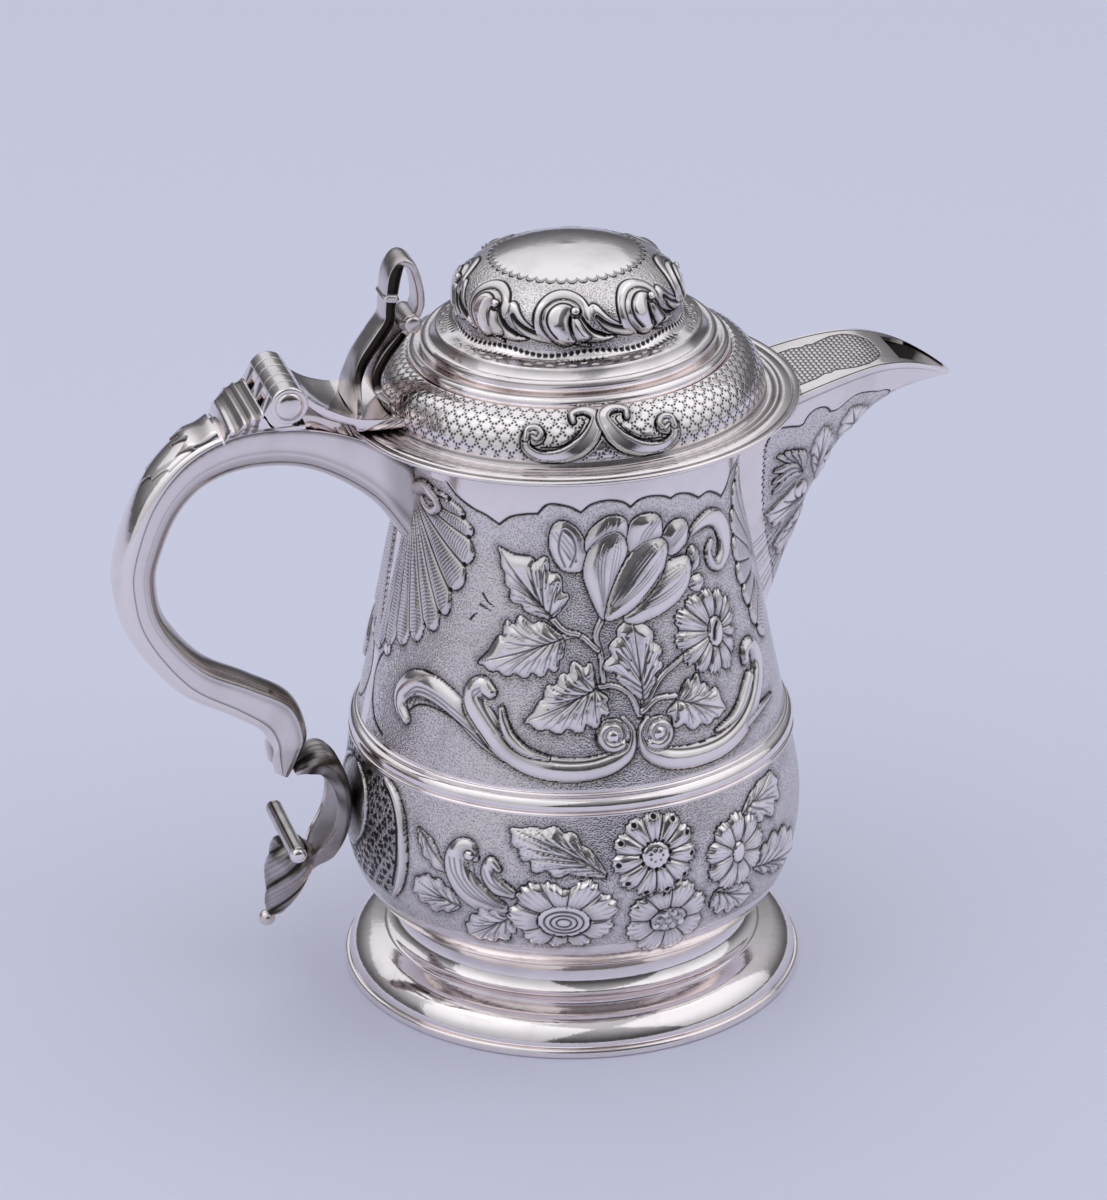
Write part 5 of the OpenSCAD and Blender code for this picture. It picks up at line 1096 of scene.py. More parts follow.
def make_handle():
    """The two half shells of the hollow handle."""
    s = np.linspace(0, 1, 360)
    half, crown, hollow, band = grip_half(s), grip_crown(s), grip_hollow(s), grip_frame(s)[2]
    a = np.radians(np.linspace(-90, 90, 49))
    w, e, t = half[:, None], band[:, None], s[:, None]
    side_n = np.linspace(1, -1, 9)
    bulge = 0.35 * (1 - side_n**2)[None, :]
    y = np.concatenate([-w - bulge, w * np.sin(a[1:-1]), w + bulge], 1)
    n = np.concatenate([e * side_n, -e - hollow[:, None] * np.cos(a[1:-1]), e * side_n[::-1]], 1)
    points, faces = sweep(grip_points(s, y, n))
    # the inner face is tarnished and drawn lengthwise, more so lower down; painted shade darkens its middle, which
    # faces the body, so its edges read lighter
    low = smoothstep(t, 0.55, 0.8)
    lines = 0.5 + 0.5 * np.cos(np.degrees(a[1:-1])[None, :] * 0.42 + 2.0 * np.sin(9 * t))
    face = (0.3 + 0.22 * low) * (0.65 + 0.35 * np.cos(a[1:-1]))[None, :] + 0.16 * lines * (0.3 + 0.7 * low)
    # the small vent hole is a painted spot of shade, not an opening
    vent = spot((t - VENT_AT) / VENT_SIZE[0], (np.degrees(a[1:-1])[None, :] - VENT_ANGLE) / VENT_SIZE[1])
    side = np.repeat(0.05 + 0.2 * smoothstep(t, 0.8, 1.0) + 0.25 * (1 - smoothstep(t, 0.02, 0.06)), len(side_n), 1)
    side = side + 0.45 * bell(side_n - 1, 0.1) + 0.2 * bell(side_n + 0.75, 0.2)
    patina = np.concatenate([side, np.maximum(face, vent), side[:, ::-1]], 1)
    piece("handle_channel_form", points, faces, "tankard", "silver_plain", POLISHED, ["handle_channel"],
          patina=patina, sharp=28)
    rim = 0.25
    # the back ends in a hollowed tail with raised edges
    flare = smoothstep(t, 0.86, 0.95)
    y = np.concatenate([-w + 0 * a[:1], w * np.sin(a[1:-1]), w + 0 * a[:1]], 1)
    rise = np.maximum(crown[:, None] - rim,
                      0.1) * np.cos(a[1:-1]) * (1 - flare) + flare * 1.9 * np.sin(a[1:-1]) ** 2
    n = np.concatenate([e + 0.05 + 0 * a[:1], e + rim + rise, e + 0.05 + 0 * a[:1]], 1)
    points, faces = sweep(grip_points(s, y, n)[:, ::-1])
    shade = np.concatenate([0.1 + 0 * t, 0.6 * flare * np.cos(a[1:-1]) ** 2, 0.1 + 0 * t], 1)[:, ::-1]
    piece("handle_back_form", points, faces, "tankard", "silver_plain", POLISHED, ["handle_back"], patina=shade,
          sharp=40)


make_handle()


# Lid
LID_COLS = 1440
BAND_FROM, BAND_TO = 11.4, 25.0  # places on the lid are measured along its line from the edge of the flange
GROUND_FROM, GROUND_TO = 46.2, 64.4
WAVES, FIRST_WAVE = 8, -2.0
PAIR_AT = 9.5
LID_T, LID_DEEPEST = 0.8, 0.4
FLANGE_POINTS = 22  # of the lid's line, up to where its inside begins


def lid_profile():
    """Outer line of the level lid from the flange's edge to the top of the dome."""
    moulding_r, plateau_r = 39.1, 33.0
    moulding_z = FLANGE_TOP + 12.6
    plateau_z = moulding_z + 6.5
    ring_r = (moulding_r - plateau_r) / 4
    band_r, band_h = 38.4, 11  # the band's upper edge, and its height if it ran to a quarter round
    a = np.radians(np.linspace(0, 90, 72) * 0.88)
    band = np.stack([band_r + (BAND_R - band_r) * np.cos(a), FLANGE_TOP + 1.4 + band_h * np.sin(a)], -1)

    def roll(r, z):
        t = np.radians(np.linspace(-50, 110, 22))
        return np.stack([r + 1.1 * ring_r * np.cos(t), z + 1.1 * ring_r * np.sin(t)], -1)

    flange = [(55.7, FLANGE_Z), (56.0, FLANGE_Z + 0.3), (56.0, FLANGE_TOP - 0.35), (55.7, FLANGE_TOP - 0.05),
              (55.2, FLANGE_TOP), (54.2, FLANGE_TOP - 0.02), (54.0, FLANGE_TOP - 0.22), (53.8, FLANGE_TOP - 0.02),
              (52.2, FLANGE_TOP + 0.02), (51.6, FLANGE_TOP + 0.12), (51.4, FLANGE_TOP - 0.1),
              (51.2, FLANGE_TOP + 0.1), (50.6, FLANGE_TOP + 0.22), (50.0, FLANGE_TOP + 0.1),
              (49.8, FLANGE_TOP - 0.1), (49.6, FLANGE_TOP + 0.15), (49.0, FLANGE_TOP + 0.35),
              (48.4, FLANGE_TOP + 0.3), (48.1, FLANGE_TOP + 0.25), (48.0, FLANGE_TOP + 0.7),
              (47.9, FLANGE_TOP + 1.1)]
    shelf = even([(plateau_r - 0.6, plateau_z), (plateau_r - 4, plateau_z + 0.8)], 14)[:-1]
    sweep_up = even(bezier([(plateau_r - 4, plateau_z + 0.8), (DOME_R + 0.6, plateau_z + 1.6),
                            (DOME_R + 0.3, plateau_z + 2),
                            (DOME_R + 0.2, plateau_z + 5)], np.linspace(0, 1, 60)), 22)
    dome = even(spline([(DOME_R + 0.2, plateau_z + 5.2), (DOME_R + 0.1, plateau_z + 8), (26.6, DOME_TOP - 9.2),
                        (25.2, DOME_TOP - 6.8), (22.6, DOME_TOP - 4.6), (19, DOME_TOP - 2.8), (14, DOME_TOP - 1.3),
                        (8, DOME_TOP - 0.4), (0.4, DOME_TOP)], 400), 160)
    return np.concatenate([flange, band, roll(moulding_r - ring_r, moulding_z),
                           roll(moulding_r - 3 * ring_r, moulding_z + 2.8),
                           [(plateau_r - 0.4, plateau_z - 0.6)], shelf, sweep_up, dome])


def punched_scales(sheet, count=84, row=2.1):
    """Rows of scales round the band, each a U of small punched ticks."""
    k = sheet.scale(sheet.along)[:, None]
    y = (BAND_TO - sheet.along[:, None]) / row
    level = np.floor(y)
    u = ((sheet.across[None, :] * count / 360 + 0.5 * (level % 2)) % 1 - 0.5) * 360 / count * k
    v = (y - level) * row
    reach = 0.44 * 360 / count * k
    r, a = np.hypot(u, v * 0.92), np.arctan2(v, u)
    on = (sheet.along[:, None] > BAND_FROM) & (y > 0)
    tick = bell(r - 0.97 * reach, 0.27) * (0.2 + 0.8 * smoothstep(np.cos(a * 11), -0.35, 0.45)) * on
    swell = arc((r / reach) ** 2) * on
    sheet.height += 0.03 * swell - 0.1 * tick
    sheet.stain(..., 0.95 * tick)


def chase_pair(c, at):
    """Two scrolls back to back on the scale band."""
    for sign in (-1, 1):
        on = lambda rows: [(at + sign * t, s) for t, s in rows]
        c.boss(on([(20.2, 17.3)])[0], (2.7, 2.3), 0.55, 0.15, outline=0.95)
        c.ridge(on([(22.6, 16.4), (21.8, 14.2), (17.8, 12.5), (11.2, 12.9), (5, 15.6), (1.5, 19.6), (1.2, 22.3),
                    (4.6, 24.1), (8.6, 23.2), (8.4, 21)]),
                [1.0, 1.2, 1.45, 1.75, 2.1, 2.0, 1.7, 1.4, 1.1, 0.7], 0.85, 0.15, style="channel", outline=0.95)
        c.cut(on([(17.6, 14.6), (12, 15), (7.6, 17.4), (5, 20.6), (5.6, 21.8)]), 0.3, 0.25, 0.85)
        c.ridge(on([(22.4, 16.6), (22, 18.8), (19.4, 19.3), (17.8, 17.9), (19, 16.6), (20.6, 17.2)]),
                [0.75, 0.7, 0.65, 0.6, 0.5, 0.35], 0.6, 0.55,
                outline=0.8, reach=0.3)


def chase_wave(c, at):
    """One scroll of the running wave round the dome, with the leaf that trails from it under the next."""
    on = lambda rows: [(at + t, s) for t, s in rows]
    tail_edge = [(13.6, 57.1), (16.4, 57.5), (19.2, 56.7), (21.6, 55), (25.2, 53.2), (30.6, 51.5), (36, 50.6)]
    c.patch(on(tail_edge + [(42, 49.6), (50, 48.6), (44, 48.4), (34, 48.8), (26, 49.8), (19, 51.8), (14, 54.6)]),
            0.3, 0.1, 1.6, outline=0, groove=0)
    c.cut(on(tail_edge), 0.24, 0.2, 0.9)
    c.ridge(on([(17.6, 53.9), (20.6, 52.2), (24.6, 50.8), (29.2, 49.9), (35.2, 49.2), (42, 49.1), (50, 48.3),
                (58, 47.2)]),
            [0.35, 0.75, 0.95, 0.95, 0.8, 0.65, 0.45, 0.2], 0.75, 0.15, style="lip", outline=0.9)
    c.cut(on([(17.2, 54.2), (20.2, 52.8), (24.4, 51.6), (29.2, 50.7), (35, 50)]), 0.42, 0.35, 0.95)
    bonnet = [(-15.3, 51.6), (-15.9, 54.3), (-15.3, 56.4), (-13.7, 58.2), (-11.3, 59.8), (-7.3, 61.2), (-2, 61.9),
              (3.3, 61.7), (8, 60.7), (11.3, 59.4), (13, 58), (13.9, 57)]
    c.patch(on(bonnet + [(13, 53), (6, 50.4), (-2, 48.4), (-10, 49)]), 0.3, 0.15, 1.4, outline=0, groove=0)
    c.cut(on(bonnet), 0.26, 0.22, 0.95, 40)
    # leaves that spring from under the scroll
    c.patch(on([(8.6, 54.6), (11.3, 52.9), (14.6, 51), (21, 49.4), (27, 48.8), (20, 47.9), (12, 48.2), (6.6, 50)]),
            0.75, 0.2, 1.4, outline=0.9)
    c.cut(on([(9.4, 54.2), (11.8, 52.4), (15, 50.7), (21, 49.4)]), 0.4, 0.35, 0.95)
    c.patch(on([(3.6, 54.9), (6.4, 54.7), (8.4, 53.4), (10.6, 51.4), (13.6, 49.4), (9, 48.2), (4.4, 48.4),
                (2.6, 51)]), 0.95, 0.25, 1.6, outline=0.9)
    # the scroll itself
    c.patch(on([(1, 47.3), (-4, 48), (-7.6, 49.9), (-10, 51.8), (-11.2, 53.8), (-10.6, 55.6), (-8.4, 57.2),
                (-5, 58.4), (-1, 58.9), (3, 58.7), (6.6, 57.8), (8.7, 56.4), (8.4, 54.9), (5.8, 54.4), (3.7, 54.6),
                (3.1, 52.8), (4.4, 50.4), (5.6, 48.4)]), 1.35, 0.15, 2.6,
            outline=0.9, groove=0.3, reach=0.42)
    c.cut(on([(-3.4, 49.6), (-7, 51.8), (-8.4, 53.8), (-7.8, 55.4), (-5.4, 56.7), (-1.6, 57.5), (2.4, 57.3),
              (5, 56.6)]), 0.32, 0.3, 0.9)
    c.cut(on([(3.6, 54.7), (3.1, 53), (4.6, 50.6)]), 0.3, 0.3, 0.85)
    c.boss(on([(6.2, 55.7)])[0], (0.95, 0.8), 0.45, 1.2, outline=1.0, reach=0.35)


def chase_lid(columns, rows, radius):
    """The lid's chasing: degrees from the viewer's side, place along its line."""
    c = Chasing(columns, rows, lambda s: np.interp(s, rows, radius) * math.pi / 180)
    s = rows[:, None]
    c.ground[(rows > GROUND_FROM) & (rows < GROUND_TO)] = 1
    punched_scales(c)
    for at in (PAIR_AT, 2 * FRONT_TURN - PAIR_AT):
        for turn in (-360, 0, 360):
            chase_pair(c, at + turn)
    for i in range(-WAVES, 2 * WAVES):
        if -240 < FIRST_WAVE + i * 360 / WAVES < 240:
            chase_wave(c, FIRST_WAVE + i * 360 / WAVES)
    sway = 0.45 * np.sin(np.radians(c.across * WAVES))[None, :]
    for place, pitch, size in ((45.5, 3.2, 0.5), (43.3, 3.0, 0.4)):
        k = c.scale(place)
        across = ((c.across % pitch) - pitch / 2)[None, :] * k
        dot = smoothstep(-np.hypot(across / 1.25, s - place - sway), -size - 0.12, -size + 0.14)
        if size < 0.5:
            dot = dot * (np.sin(np.radians(c.across * WAVES + 40)) > -0.2)[None, :]
        c.height -= 0.22 * dot
        c.stain(..., 0.72 * dot)
    # a garland of small leaves on the shelf
    for i in range(72):
        at, odd = -180 + 5.0 * i, i % 2
        if math.sin(math.radians(at * WAVES + 130)) > -0.55:
            sprig = [(at, 41.5 + odd), (at + 1.7, 41.9 + 0.6 * odd), (at + 3.8, 41.5 + 1.2 * odd)]
            c.ridge(sprig, [0.1, 0.42, 0.1], 0.16, 0.02, count=12, outline=0.5, groove=0.06, reach=0.25)
    # scalloped line round the plain crown
    scallop = np.abs(np.sin(np.radians(c.across * 22)))[None, :] ** 0.7
    for place, depth in ((64.0, 0.8), (64.7, 0.5)):
        line = bell(s - place - 1.3 * (1 - scallop), 0.26)
        c.height -= 0.12 * line * depth
        c.stain(..., depth * line)
    for place in (1.9, 2.15, 4.6, 6.2, 7.9, 10.6, 25.6, 30.4, 35.4, 39.4):
        c.stain(..., 0.5 * bell(s - place, 0.28))
    return c


def make_lid():
    """The chased lid and its plain inside, turned to where it rests."""
    outer = lid_profile()
    along = np.concatenate([[0], np.cumsum(np.hypot(*np.diff(outer, axis=0).T))])
    normal = -left_normals(outer)
    design = chase_lid(np.linspace(-180, 180, LID_COLS, endpoint=False), along, outer[:, 0])
    fade = smoothstep(along, 10.9, 11.6)[:, None] * (1 - smoothstep(along, 72, 74))[:, None]
    out = outer[:, None, :] + normal[:, None, :] * (np.maximum(design.height, -LID_DEEPEST) * fade)[..., None]
    a = np.radians(design.across - FRONT_TURN)
    foot = np.stack([(BAND_R - LID_T) * np.cos(a), (BAND_R - LID_T) * np.sin(a), np.full(LID_COLS, FLANGE_Z)], -1)
    top = np.concatenate([foot, round_axis(out, a).reshape(-1, 3)])
    inner = outer[FLANGE_POINTS::3] - LID_T
    inner = np.concatenate([[(BAND_R - LID_T, FLANGE_Z)], inner[inner[:, 0] > 0.3]])
    under_cols = LID_COLS // 4
    under = lathe_points(inner, under_cols)
    n = len(top)
    faces = [grid_quads(len(outer) + 1, LID_COLS, wrap_cols=True),
             grid_quads(len(inner), under_cols, wrap_cols=True, flip=True) + n,
             (n - LID_COLS + np.arange(LID_COLS))[None, :],
             (n + len(under) - under_cols + np.arange(under_cols))[None, ::-1]]
    flat = lambda values: np.concatenate([np.zeros(LID_COLS), values.ravel(), np.zeros(len(under))])
    piece("lid_chasing", lean(np.concatenate([top, under])), faces, "lid", "silver_chased", CHASED,
          ["lid", "lid_relief"], patina=flat(design.dark), ground=flat(design.ground), sharp=60)


make_lid()

# Lower scroll and tail
SCROLL_Z, BAR_LEN, BAR_D = 50.5, 30.0, 4.2
BAR_X, BAR_Z = -BELLY_R - 16.5, SCROLL_Z - 6.6
# X and Z from the belly's joint, half depth, share of the width
SCROLL_ROWS = [(-14.2, 10.4, 0.8, 0.2), (-11.4, 12.2, 2.1, 0.36), (-7.4, 12.6, 3.2, 0.46), (-4.2, 8, 2.9, 0.5),
               (-3.2, 2, 2.7, 0.5), (-4.2, -4.4, 2.9, 0.5), (-7.2, -10.2, 3.3, 0.44), (-12, -16, 3.2, 0.36)]
SCROLL_W = 16.0


def ribbon(rows, rings, sides, power=0.7, carve=None, hollow=None):
    """Sections of a scroll with a rounded-box section along rows of x, z, half depth and half width."""
    r = spline(rows, rings)
    left = left_normals(r[:, :2])
    a = circle(sides)
    c = np.sign(np.cos(a)) * np.abs(np.cos(a)) ** power
    s = np.sign(np.sin(a)) * np.abs(np.sin(a)) ** power
    t = np.linspace(0, 1, rings)[:, None]
    depth = r[:, 2:3] * c + (0 if carve is None else carve(t, c[None, :], s[None, :]))
    x = r[:, 0:1] - left[:, 0:1] * depth
    z = r[:, 1:2] - left[:, 1:2] * depth
    y = r[:, 3:4] * s - (0 if hollow is None else np.sign(s) * hollow(t, c[None, :], s[None, :]))
    return np.stack([x, y, z], -1)


def make_lower_scroll():
    """A C of silver with a dished inner face between beaded edges, and a leaf laid over its upper bend."""
    rows = [(x - BELLY_R, z + SCROLL_Z, d, w * SCROLL_W) for x, z, d, w in SCROLL_ROWS]

    def carve(t, c, s):
        reach = smoothstep(t, 0.2, 0.34) * (1 - smoothstep(t, 0.93, 1.0))
        dish = np.where(c > 0, -1.3 * (1 - np.abs(s) ** 7) * smoothstep(c, 0.3, 0.8), 0) * reach
        bead = 0.4 * bell(np.abs(s) - 0.9, 0.07) * np.where(c > 0, smoothstep(c, 0.4, 0.7), 0) * reach
        leaf = 0.5 + 0.5 * np.cos(5 * math.pi * s + 9 * t)
        taper = -0.9 * c * smoothstep(t, 0.86, 1.0)
        leaf = 0.4 * leaf * np.where(c < 0, smoothstep(-c, 0.1, 0.7), 0) * smoothstep(t, 0.02, 0.12)
        return taper + dish + bead + leaf * (1 - smoothstep(t, 0.42, 0.5))

    rings, sides = 180, 120
    hollow = lambda t, c, s: 3.0 * np.abs(s) * smoothstep(t, 0.86, 1.0)
    sections = ribbon(rows, rings, sides, 0.62, carve, hollow)
    a = circle(sides)
    t = np.linspace(0, 1, rings)[:, None]
    c, w = np.cos(a)[None, :], np.sin(a)[None, :]
    # dark on the outside and in the dish, rubbed along the beads
    bead = bell(c - 0.62, 0.16)
    veins = (0.5 + 0.5 * np.cos(34 * t + 6 * c)) * smoothstep(t, 0.05,
            0.15) * (1 - smoothstep(t, 0.5, 0.7)) * (c < 0.5)
    patina = np.clip(0.36 + 0.04 * (c > 0.7) + 0.22 * veins - 0.4 * bead, 0, 1) * smoothstep(t, 0.0, 0.12)
    # a small hole in the dish is a painted spot of shade, not an opening
    hole = spot((t - 0.47) / 0.013, (w + 0.25) / 0.12) * (c > 0)
    patina = np.maximum(patina, hole)
    points, faces = sweep(sections[:, ::-1])
    piece("lower_scroll_carved", points, faces, "tankard", "silver_cast", CAST, ["lower_scroll"],
          patina=patina[:, ::-1], sharp=45)


def turned(profile, centre, count=64):
    """Points and faces of a solid turned about a line along Y; the profile is (radius, place)."""
    p = np.asarray(profile, float)
    a = circle(count)
    x = centre[0] + p[:, :1] * np.cos(a)
    z = centre[2] + p[:, :1] * np.sin(a)
    y = centre[1] + np.repeat(p[:, 1:], count, 1)
    return sweep(np.stack([x, y, z], -1)[:, ::-1])


def buttons(rim, dome, end, centre):
    """A domed button on each end of a bar along Y: its rim's profile, then the dome's radius, foot and rise."""
    radius, foot, rise = dome
    a = np.radians(np.linspace(0, 88, 12))
    profile = np.array(rim + [(radius * math.cos(t), foot + rise * math.sin(t)) for t in a]) + (0, end)
    return joined(turned(profile[::-1] * (1, -1), centre), turned(profile, centre))


def make_tail():
    """The cross bar with its buttons, and the twisted husk that hangs from it."""
    end = BAR_LEN / 2 - 1.4
    r = BAR_D / 2
    half = [(r - 0.3, -end), (r, -end + 0.3), (r, -end + 0.9), (r - 0.22, -end + 1.1), (r, -end + 1.3)]
    bar = half + [(r, y) for y in np.linspace(-end + 2, end - 2, 24)] + [(a, -b) for a, b in half[::-1]]
    seam = bell(np.linspace(0, 360, 64, endpoint=False) - 118, 9)[None, ::-1]
    grime_and_shade = np.tile(0.12 + 0.7 * seam, (len(bar), 1))
    grime_and_shade[[3, -4]] = 0.9
    piece("tail_bar_turned", *turned(bar, (BAR_X, 0, BAR_Z)), "tankard", "silver_cast", CAST, ["tail_bar"],
          patina=grime_and_shade)
    rim = [(r * 0.98, 0), (r * 0.98, 0.2), (r * 0.86, 0.3)]
    piece("tail_button_domes", *buttons(rim, (r * 0.92, 0.35, 1.05), end, (BAR_X, 0, BAR_Z)),
          "tankard", "silver_cast", POLISHED, ["tail_buttons"])

    cols, rows, starts = 120, 90, 3
    a = circle(cols)
    t = np.linspace(0, 1, rows)
    # the axis bends away from the body; radius and place by height
    line = spline([(-73.6, 41.6, 3.6), (-73.0, 38.6, 5.4), (-73.2, 34, 6.1), (-74.6, 29, 4.9), (-76.0, 25, 3.6),
                   (-77.0, 22.4, 2.3), (-77.6, 21.2, 0.7)], rows)
    turn = (starts * (a[None, :] / (2 * math.pi) + 0.95 * t[:, None])) % 1
    rope = 0.9 + 0.14 * np.sin(math.pi * np.clip(turn, 0, 1) ** 0.7) ** 0.8
    r = line[:, 2:3] * rope
    rings = np.stack([line[:, 0:1] + r * np.cos(a), r * np.sin(a), np.repeat(line[:, 1:2], cols, 1)], -1)
    points, faces = sweep(rings)
    crease = bell(np.minimum(turn, 1 - turn), 0.09)
    fine = 0.5 + 0.5 * np.cos(turn * 2 * math.pi * 6)
    grime_and_shade = 0.22 + 0.5 * crease + 0.16 * fine + 0.4 * bell(t[:, None] - 0.8, 0.12) * (turn < 0.5)
    piece("tail_husk", points, faces, "tankard", "silver_cast", CAST, ["tail_drop"], patina=np.clip(grime_and_shade, 0, 1),
          sharp=50)
    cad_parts["tail_bead"].data.materials[0] = CAST


# Hinge
def extruded(profile, half, bevel=0.4):
    """Points and faces of a profile in X-Z, drawn anticlockwise seen from -Y, with eased ends."""
    p = np.asarray(profile, float)
    ahead = np.roll(p, -1, 0) - np.roll(p, 1, 0)
    ahead /= np.linalg.norm(ahead, axis=1)[:, None] + 1e-9
    inward = np.stack([-ahead[:, 1], ahead[:, 0]], -1)
    rings = []
    for y, inset in ((-half, bevel), (-half + 0.3 * bevel, 0.3 * bevel), (-half + bevel, 0), (half - bevel, 0),
                     (half - 0.3 * bevel, 0.3 * bevel), (half, bevel)):
        q = p + inward * inset
        rings.append(np.stack([q[:, 0], np.full(len(q), y), q[:, 1]], -1))
    return sweep(np.array(rings)[:, ::-1])


BED_FROM, BED_TO, LEAF_TO, LEAF_LAP = 1.95 / 14, 3.35 / 14, 4.95 / 14, 0.02 / 14  # along the handle
LEAF_SPREAD = 62  # degrees to each side, round the handle's back
# Line over the bed from the barrel's front to the tongue behind it, from the hinge's axis
BED_TOP = [(3.9, -5.05), (2, -5.05), (-2, -5.05), (-3.9, -4.4), (-5.0, -3.2), (-5.6, -2.0), (-6.1, -1.3),
           (-6.6, -1.2), (-7.0, -1.65), (-7.6, -2.15), (-8.3, -2.2), (-8.8, -2.0), (-9.2, -2.35), (-9.8, -2.9),
           (-10.5, -3.0), (-11.0, -2.85), (-11.4, -3.25), (-12.1, -4.0), (-13.0, -4.45), (-13.7, -4.55),
           (-14.2, -4.85), (-14.7, -5.7), (-15.3, -6.9), (-15.7, -8.0)]


def make_hinge_bed():
    """A saddle as wide as the barrel, fluted behind it, with cheeks that run in to the handle's edges."""
    line = even(spline(BED_TOP, 400), 200) + np.array((HINGE_X, HINGE_Z))
    s = np.linspace(BED_FROM, BED_TO + 0.01, 80)
    mid, out, band = grip_frame(s)
    edge = mid + out * band[:, None]
    crown = mid + out * (band + grip_crown(s))[:, None]
    rings = []
    for x, z in line:
        behind = smoothstep(-(x - HINGE_X), 9.0, 15.7)
        half = BARREL_LEN / 2 * (1 - 0.22 * behind**2)
        low = float(np.interp(-x, -edge[:, 0], edge[:, 1])) + 0.1
        crest = float(np.interp(-x, -crown[:, 0], crown[:, 1]))
        top = max(z, crest + 0.2)
        lip = max(top - 1.3, low + 0.3)
        narrow = float(np.interp(-x, -edge[:, 0], grip_half(s))) - 0.1
        q = np.linspace(-1, 1, 25)
        over = np.stack([half * q, top - 0.45 * np.abs(q) ** 14 - 1.2 * behind * q * q], -1)
        lip = min(lip, over[0, 1] - 0.5)
        section = np.concatenate([[(-narrow, low)], [(-half, lip)], over, [(half, lip)], [(narrow, low)]])
        rings.append(np.stack([np.full(len(section), x), section[:, 0], section[:, 1]], -1))
    points, faces = outward(*sweep(np.array(rings)))
    height = np.repeat(line[:, 1:] - HINGE_Z, len(rings[0]), 1)
    # tarnish and painted shade: darker in the flutes, and in a band on the bed under the back of the barrel
    hollow = np.convolve(np.gradient(np.gradient(line[:, 1])), np.ones(7) / 7, "same")
    grime_and_shade = np.clip(hollow * 60, 0, 0.5)[:, None] * np.ones((1, len(rings[0]))) * (height > -7)
    grime_and_shade = np.maximum(grime_and_shade, 0.75 * bell(line[:, :1] - HINGE_X + 4.5, 1.0))
    piece("hinge_bed_ridged", points, faces, "tankard", "silver_plain", POLISHED, ["hinge_bed"], patina=grime_and_shade,
          sharp=50)


def make_hinge_leaf():
    """The leaf in two tiers that runs from the bed down the handle's back."""
    rows, cols = 160, 65
    u = np.linspace(0, 1, rows)
    s = BED_TO - LEAF_LAP + (LEAF_TO - BED_TO + LEAF_LAP) * u
    angle = np.linspace(-LEAF_SPREAD, LEAF_SPREAD, cols)
    a = np.radians(angle)
    band, half, crown = grip_frame(s)[2][:, None], grip_half(s)[:, None], grip_crown(s)[:, None]
    q = np.abs(angle / LEAF_SPREAD)[None, :]
    u2 = u[:, None]
    # the upper tier ends in an M, the lower one in a point with a curl on each side
    upper = 0.5 - 0.2 * np.abs(np.sin(1.5 * math.pi * q)) ** 0.8
    lower = 0.97 - 0.3 * q**1.4 - 0.08 * np.abs(np.sin(2 * math.pi * q))
    swell = 0.75 + 0.25 * np.cos(2 * math.pi * u2 / 0.3)
    edge = arc(q**10)
    lift = 0.5 * smoothstep(lower - u2, 0.0, 0.014) * edge
    lift = lift + 1.15 * (1 - 0.4 * u2) * swell * smoothstep(upper - u2, 0.0, 0.016) * edge + 0.02
    # tarnish and painted shade: dark lines at the foot of each tier's edge, and darker troughs between the swells
    grime_and_shade = np.maximum(0.95 * bell(u2 - upper - 0.012, 0.024), 0.9 * bell(u2 - lower - 0.01, 0.018))
    grime_and_shade = np.maximum(grime_and_shade, 0.35 * (1 - swell) / 0.5 * (u2 < upper))
    top = grip_points(s, half * np.sin(a), band + crown * np.cos(a) + lift)
    low = grip_points(s, half * np.sin(a), band + crown * np.cos(a) - 0.3)
    piece("hinge_leaf_stepped", *shell(top, low), "tankard", "silver_plain", POLISHED, ["hinge_leaf"],
          patina=np.stack([grime_and_shade, 0 * grime_and_shade]), sharp=50)


def barrel_piece(spans):
    """Knuckles with eased ends."""
    r, e = BARREL_R, 0.14
    ease = [(r - e, 0), (r - 0.3 * e, 0.3 * e), (r, e), (r, 2 * e)]
    return [turned([(a, low + b) for a, b in ease] + [(a, high - b) for a, b in ease[::-1]], (HINGE_X, 0, HINGE_Z))
            for low, high in spans]


def make_hinge():
    """The knuckles, and the domed caps over the ends of the pin."""
    mid, end, clear = 3.0, BARREL_LEN / 2, 0.15
    lid_len = (end - mid) / 2
    fixed = [(-end, -mid - lid_len - clear / 2), (-mid + clear / 2, mid - clear / 2),
             (mid + lid_len + clear / 2, end)]
    moving = [(-mid - lid_len + clear / 2, -mid - clear / 2), (mid + clear / 2, mid + lid_len - clear / 2)]
    parts = barrel_piece(fixed)
    bed_top = HINGE_Z - BARREL_R - 0.35
    # a web under each fixed knuckle runs down into the bed
    a = np.radians(np.linspace(-72, 150, 32))
    web = np.concatenate([[(HINGE_X - 7.4, HINGE_Z - 3.4), (HINGE_X - 7.6, bed_top - 0.3),
                           (HINGE_X + 0.4, bed_top - 0.3), (HINGE_X + 0.9, bed_top + 0.25)],
                          np.stack([HINGE_X + (BARREL_R - 0.02) * np.cos(a),
                                    HINGE_Z + (BARREL_R - 0.02) * np.sin(a)], -1)])
    for low, high in fixed:
        points, faces = extruded(web, (high - low) / 2, 0.3)
        parts.append((points + np.array([0, (low + high) / 2, 0]), faces))
    piece("handle_knuckle_barrels", *joined(*parts), "tankard", "silver_plain", POLISHED, ["handle_knuckles"])
    piece("lid_knuckle_barrels", *joined(*barrel_piece(moving)), "lid", "silver_plain", POLISHED, ["lid_knuckles"])
    rim = [(BARREL_R - 0.1, 0.0), (BARREL_R - 0.2, 0.22), (4.3, 0.36), (3.75, 0.4), (3.6, 0.34), (3.5, 0.06),
           (3.35, 0.2)]
    piece("hinge_cap_domes", *buttons(rim, (3.3, 0.3, 0.95), end, (HINGE_X, 0, HINGE_Z)), "tankard", "silver_plain",
          POLISHED, ["hinge_caps"])


